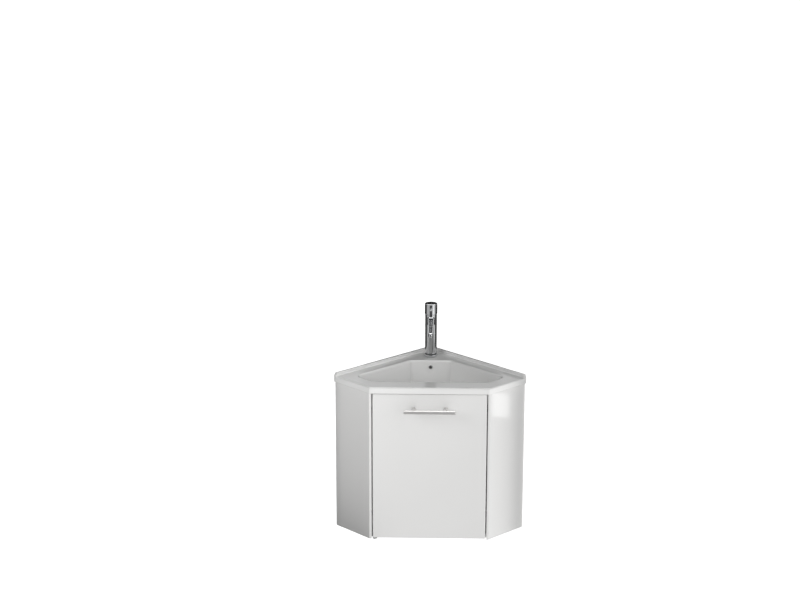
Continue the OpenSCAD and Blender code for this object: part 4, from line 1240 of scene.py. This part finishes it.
    def shade_skin(self, piece: Piece) -> None:
        """Gives the blended skin its exact normals, and leaves flats and bores to their faces.

        Args:
            piece: Body in millimetres.
        """
        mesh = piece.data
        mesh.update()
        points = np.array([v.co for v in mesh.vertices], float)
        slope = self.gradient(points)
        slope /= np.maximum(np.linalg.norm(slope, axis=1), 1e-9)[:, None]
        near = np.abs(self.skin(points)) < self.skin_band
        for polygon in mesh.polygons:
            polygon.use_smooth = True
        normals = np.zeros((len(mesh.loops), 3))
        for polygon in mesh.polygons:
            flat = np.array(polygon.normal)
            for loop in polygon.loop_indices:
                vertex = mesh.loops[loop].vertex_index
                fits = near[vertex] and float(slope[vertex] @ flat) > self.least_facing
                normals[loop] = slope[vertex] if fits else flat
        mesh.normals_split_custom_set([tuple(n) for n in normals])

    @property
    def pointing(self) -> Vector:
        """Direction of the pin lever."""
        rise = math.radians(self.lever_rise)
        return Vector((0, -math.cos(rise), math.sin(rise)))

    def cap(self) -> Piece:
        """Handle cap: hollow below, eased on top, and cut away behind for its tilt."""
        bore, over, y = Workbench.bore, self.overrun, self.tap_y
        centre = Vector((0, y, self.cap_z))
        foot = [(self.cap_r - inset, height) for inset, height in self.cap_foot]
        edge = [(self.cap_r - inset, self.cap_h - drop) for inset, drop in quarter_arc(self.cap_round, 8)]
        top = [(radius, self.cap_h) for radius in self.cap_top_rings]
        piece = Workbench.turn("handle_cap_turned", [*foot, *edge, *top], centre, count=Facets.CAP)
        reach = self.wedge_reach
        wedge = Workbench.block("wedge", (-reach, 0, -reach), (reach, reach, 0))
        wedge.data.transform(Matrix.Rotation(math.radians(self.lift), 4, "X"))
        wedge.data.transform(Matrix.Translation(centre))
        half, low = self.socket_half, self.tilt_z
        grub = (0, y, self.cap_z + self.hollow_h + self.grub_up)
        lever = (0, y, self.lever_z)
        cutters = (
            bore(self.hollow_r, -over, self.hollow_h, centre, UP, Facets.CASTING),
            wedge,
            bore(self.lever_r, self.lever_from, self.lever_hole_to, lever, self.pointing, Facets.POST),
            bore(self.grub_r, self.grub_from, self.grub_to, grub, BACKWARD, Facets.OVERFLOW),
            Workbench.block("socket", (-half, y - half, low), (half, y + half, low + self.socket_h)),
        )
        for cutter in cutters:
            Workbench.meet(piece, cutter, Join.CUT)
        return hand_over(piece, Body.HANDLE, CHROME, "handle_cap", 32.0)

    def lever(self) -> Piece:
        """Pin lever with a softly rounded tip."""
        r, foot = self.lever_r, Vector((0, self.tap_y, self.lever_z))
        tip = [(r - inset, self.lever_to - drop) for inset, drop in quarter_arc(self.lever_round, 6)]
        profile = [(r, self.lever_from), *tip]
        piece = Workbench.turn("handle_lever_turned", profile, foot, self.pointing, Facets.LEVER)
        return hand_over(piece, Body.HANDLE, CHROME, "handle_lever")

    def build(self) -> list[Piece]:
        """Builds the tap's visible castings and dresses its works.

        Returns:
            The new pieces.
        """
        dress_nodes(RUBBER, "tap_gasket", "tap_clamp_rubber")
        dress_nodes(ZINC, "tap_stud", "tap_clamp_plate", "rotor_pin", "grub_screw")
        dress_nodes(BRASS, "tap_nut", "spindle")
        dress_nodes(CHROME, "aerator_housing", "dome_nut", "screw_plug")
        dress_nodes(WHITE_PLASTIC, "aerator_insert", "cartridge_rotor")
        dress_nodes(GREY_PLASTIC, "cartridge_body")
        return [self.body(), self.cap(), self.lever()]


@dataclass
class Drain:
    """Waste with its click plug, and the bottle trap below."""

    waste_y: float = -250.0
    plug_z: float = 380.3
    plug_r: float = 30.0
    plug_t: float = 5.0
    crown: float = 1.5
    edge: float = 1.0
    stem_r: float = 4.0
    stem: float = 48.0
    dome_rings: int = 12
    shortest: float = 0.7
    mouldings: tuple[tuple[str, float], ...] = (
        ("trap_body", 0.8), ("trap_cup", 1.0), ("trap_inlet_nut", 0.8), ("trap_outlet_nut", 0.8),
        ("trap_outlet_pipe", 0.4),
    )

    def plug(self) -> Piece:
        """Click plug: a crowned cap with an eased edge, on its stem."""
        side, edge = self.plug_t - self.crown, self.edge
        flat = self.plug_r - edge
        low = [(self.stem_r, -self.stem), (self.stem_r, 0.0)]
        under = [(flat + edge * math.sin(a), edge * (1 - math.cos(a))) for a in quarter_turn(5)]
        top = [(self.plug_r - inset, side - drop) for inset, drop in quarter_arc(edge, 5)]
        shares = [1 - i / (self.dome_rings + 0.5) for i in range(1, self.dome_rings + 1)]
        dome = [(flat * share, side + self.crown * (1 - share**2)) for share in shares]
        centre = Vector((0, self.waste_y, self.plug_z))
        piece = Workbench.turn("plug_crowned", [*low, *under, *top, *dome], centre)
        return hand_over(piece, Body.PLUG, CHROME, "waste_plug", 40.0)

    def build(self) -> list[Piece]:
        """Builds the plug and the eased plastic parts, and dresses the rest.

        Returns:
            The new pieces.
        """
        dress_nodes(CHROME, "waste_body", "waste_nut")
        dress_nodes(
            RUBBER, "waste_upper_seal", "waste_lower_seal", "plug_seal", "trap_inlet_seal", "trap_cup_seal",
            "trap_outlet_seal",
        )
        dress_nodes(WHITE_PLASTIC, "trap_dip_tube")
        return [self.plug()] + [
            eased(node, node + "_moulded", Body.UNIT, WHITE_PLASTIC, width, 2, self.shortest, 50.0, 35.0)
            for node, width in self.mouldings
        ]


# ---------------------------------------------------------------- studio


@dataclass(frozen=True)
class Sky:
    """Soft light that changes evenly with its direction, as from large screens around the unit."""

    level: float
    slope: tuple[float, float, float]
    least: float

    def add_to(self, tree: bpy.types.NodeTree) -> bpy.types.NodeSocket:
        """Adds this light to the world's tree.

        Args:
            tree: Node tree of the world.

        Returns:
            The light's shader.
        """
        value = tree.nodes.new("ShaderNodeTexCoord").outputs["Generated"]
        steps = (
            ("ShaderNodeVectorMath", "DOT_PRODUCT", self.slope),
            ("ShaderNodeMath", "ADD", self.level),
            ("ShaderNodeMath", "MAXIMUM", self.least),
        )
        for kind, operation, operand in steps:
            node = tree.nodes.new(kind)
            node.operation = operation
            node.inputs[1].default_value = operand
            tree.links.new(value, node.inputs[0])
            value = node.outputs["Value"]
        light = tree.nodes.new("ShaderNodeBackground")
        tree.links.new(value, light.inputs["Strength"])
        return light.outputs["Background"]


@dataclass(frozen=True)
class SoftBox:
    """One rectangular lamp, or a card that only shows in glossy surfaces."""

    name: str
    place: tuple[float, float, float]
    target: tuple[float, float, float]
    size: tuple[float, float]
    radiance: float
    lights: bool = True
    mirrored: bool = True

    def hang(self) -> None:
        """Hangs the lamp."""
        data = bpy.data.lights.new(self.name, "AREA")
        data.shape = "RECTANGLE"
        data.size, data.size_y = self.size
        data.energy = self.radiance * math.pi * self.size[0] * self.size[1]
        lamp = bpy.data.objects.new(self.name, data)
        lamp.location = self.place
        aim = Vector(self.target) - Vector(self.place)
        lamp.rotation_euler = aim.to_track_quat("-Z", "Y").to_euler()
        lamp.visible_diffuse = self.lights
        lamp.visible_glossy = self.mirrored
        lamp.visible_camera = False
        bpy.context.scene.collection.objects.link(lamp)


@dataclass
class Studio:
    """Pale floor, dark cards, soft light and the camera, with their sizes in metres."""

    floor_z: float = -0.35
    floor_size: float = 120.0
    floor_glow: float = 1.0
    floor_tones: tuple[float, float] = (0.93, 0.95)
    card_tones: tuple[float, float] = (0.02, 0.03)
    matt: float = 0.9
    camera_place: tuple[float, float, float] = (0.04168, -5.53253, 2.16939)
    yaw: float = 1.4635
    pitch: float = 15.3497
    roll: float = 0.0766
    lens: float = 81.177
    sensor: float = 36.0
    screens: Sky = Sky(0.84, (1.12, -0.52, -0.84), 0.05)
    room: Sky = Sky(0.115, (0.0, 0.0, 0.03), 0.05)
    lamps: tuple[SoftBox, ...] = (
        SoftBox("upper_left", (-0.9, -1.0, 0.95), (-0.2, -0.35, 0.3), (0.6, 0.6), 4.2, mirrored=False),
        SoftBox(
            "window_card", (1.257, -0.33, 0.072), (0.215, -0.365, 0.424), (0.06, 0.085), 1.9, lights=False
        ),
        SoftBox("back_screen", (0.0, 2.2, 1.25), (0.0, 0.0, 1.25), (6.0, 1.6), 0.85, lights=False),
        SoftBox("left_screen", (-1.42, -1.19, -0.05), (0.0, -0.08, -0.05), (1.9, 1.7), 0.42, lights=False),
        SoftBox("right_screen", (1.42, -1.19, -0.05), (0.0, -0.08, -0.05), (1.9, 1.7), 0.70, lights=False),
        SoftBox("right_strip", (1.05, -1.35, -0.05), (0.0, -0.08, -0.05), (0.16, 1.7), 1.1, lights=False),
        SoftBox("top_screen", (0.0, -0.05, 2.1), (0.0, -0.05, 0.5), (2.4, 2.0), 2.6, lights=False),
    )
    flags: tuple[tuple[tuple[float, float, float], tuple[float, float, float]], ...] = (
        ((-0.22, 0.03, 0.46), (0.22, 0.04, 0.60)),
        ((-0.12, 0.03, 0.67), (0.12, 0.04, 0.74)),
    )
    wall_card: tuple[tuple[float, float, float], tuple[float, float, float]] = (
        (0.425, -0.004, -0.05), (0.505, 0.0, 0.51)
    )
    low_card: tuple[tuple[float, float, float], tuple[float, float, float]] = (
        (0.42, 0.0, -0.06), (0.60, 0.20, -0.05)
    )

    def camera(self) -> None:
        """Places the camera where the photograph was taken."""
        data = bpy.data.cameras.new("camera")
        data.lens = self.lens
        data.sensor_width = self.sensor
        data.sensor_fit = "HORIZONTAL"
        data.clip_end = 200.0
        camera = bpy.data.objects.new("camera", data)
        turn = (
            Matrix.Rotation(math.radians(self.yaw), 4, "Z")
            @ Matrix.Rotation(math.radians(90.0 - self.pitch), 4, "X")
            @ Matrix.Rotation(math.radians(self.roll), 4, "Z")
        )
        camera.matrix_world = Matrix.Translation(self.camera_place) @ turn
        bpy.context.scene.collection.objects.link(camera)
        bpy.context.scene.camera = camera

    def floor(self) -> None:
        """Pale floor well below the hanging unit, lit from within so that it stays even."""
        Workbench.clear()
        bpy.ops.mesh.primitive_plane_add(size=self.floor_size, location=(0, 0, self.floor_z))
        floor = bpy.context.view_layer.objects.active
        floor.name = "floor"
        recipe = Recipe("pale_floor")
        recipe.tint(Pattern(0.4), *((tone,) * 3 for tone in self.floor_tones))
        recipe.fixed(Roughness=self.matt, Emission_Color=(1.0,) * 4, Emission_Strength=self.floor_glow)
        floor.data.materials.append(recipe.material)
        floor.visible_glossy = False
        floor.visible_diffuse = False

    def hang_flags(self) -> None:
        """Dark cards unseen by the camera: two behind the tap, and three unmirrored round the cabinet."""
        recipe = Recipe("black_card")
        recipe.tint(Pattern(30.0), *((tone,) * 3 for tone in self.card_tones))
        recipe.fixed(Roughness=self.matt)
        behind = [Workbench.block("flag_%d" % number, *flag) for number, flag in enumerate(self.flags)]
        left = self.card_at_wall("wall_card_left", *self.wall_card)
        right = Workbench.mirrored(left, "wall_card_right")
        around = [left, right, self.card_at_wall("low_card", *self.low_card)]
        for card in behind + around:
            card.data.materials.append(recipe.material)
            card.visible_camera = False
            card.visible_glossy = card in behind

    @staticmethod
    def card_at_wall(name: str, low: Sequence[float], high: Sequence[float]) -> Piece:
        """Card between two corners given along the left wall, away from it and in height.

        Args:
            name: Name of the card.
            low: Lowest corner.
            high: Highest corner.

        Returns:
            The card.
        """
        (u0, v0, z0), (u1, v1, z1) = low, high
        outline = ((u0, v0), (u1, v0), (u1, v1), (u0, v1))
        return Workbench.extrude_through(name, [[at_walls(u, v, z) for u, v in outline] for z in (z0, z1)])

    def world(self) -> None:
        """Screens that light the unit, the dimmer room that its gloss mirrors, and a pale backdrop."""
        world = bpy.data.worlds.new("studio")
        world.use_nodes = True
        tree = world.node_tree
        backdrop = tree.nodes["Background"]
        backdrop.inputs["Color"].default_value = (1.0, 1.0, 1.0, 1.0)
        backdrop.inputs["Strength"].default_value = 1.0
        path = tree.nodes.new("ShaderNodeLightPath")
        shown = self.screens.add_to(tree)
        room = self.room.add_to(tree)
        for ray, shader in (("Is Glossy Ray", room), ("Is Camera Ray", backdrop.outputs[0])):
            mix = tree.nodes.new("ShaderNodeMixShader")
            tree.links.new(path.outputs[ray], mix.inputs["Fac"])
            tree.links.new(shown, mix.inputs[1])
            tree.links.new(shader, mix.inputs[2])
            shown = mix.outputs["Shader"]
        tree.links.new(shown, tree.nodes["World Output"].inputs["Surface"])
        bpy.context.scene.world = world

    def build(self) -> None:
        """Sets up the studio."""
        self.camera()
        self.floor()
        self.hang_flags()
        self.world()
        for lamp in self.lamps:
            lamp.hang()
        bpy.context.scene.view_settings.view_transform = "Standard"


def main() -> None:
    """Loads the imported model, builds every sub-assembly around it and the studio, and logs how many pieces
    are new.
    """
    logging.basicConfig(level=logging.INFO, format="%(name)s: %(message)s")
    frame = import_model()
    NODES.update(frame["nodes"])
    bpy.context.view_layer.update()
    count = sum(len(assembly().build()) for assembly in (Carcass, Door, Basin, Tap, Drain))
    Studio().build()
    Workbench.clear()
    LOG.info("%d new pieces", count)


if __name__ == "__main__":
    main()
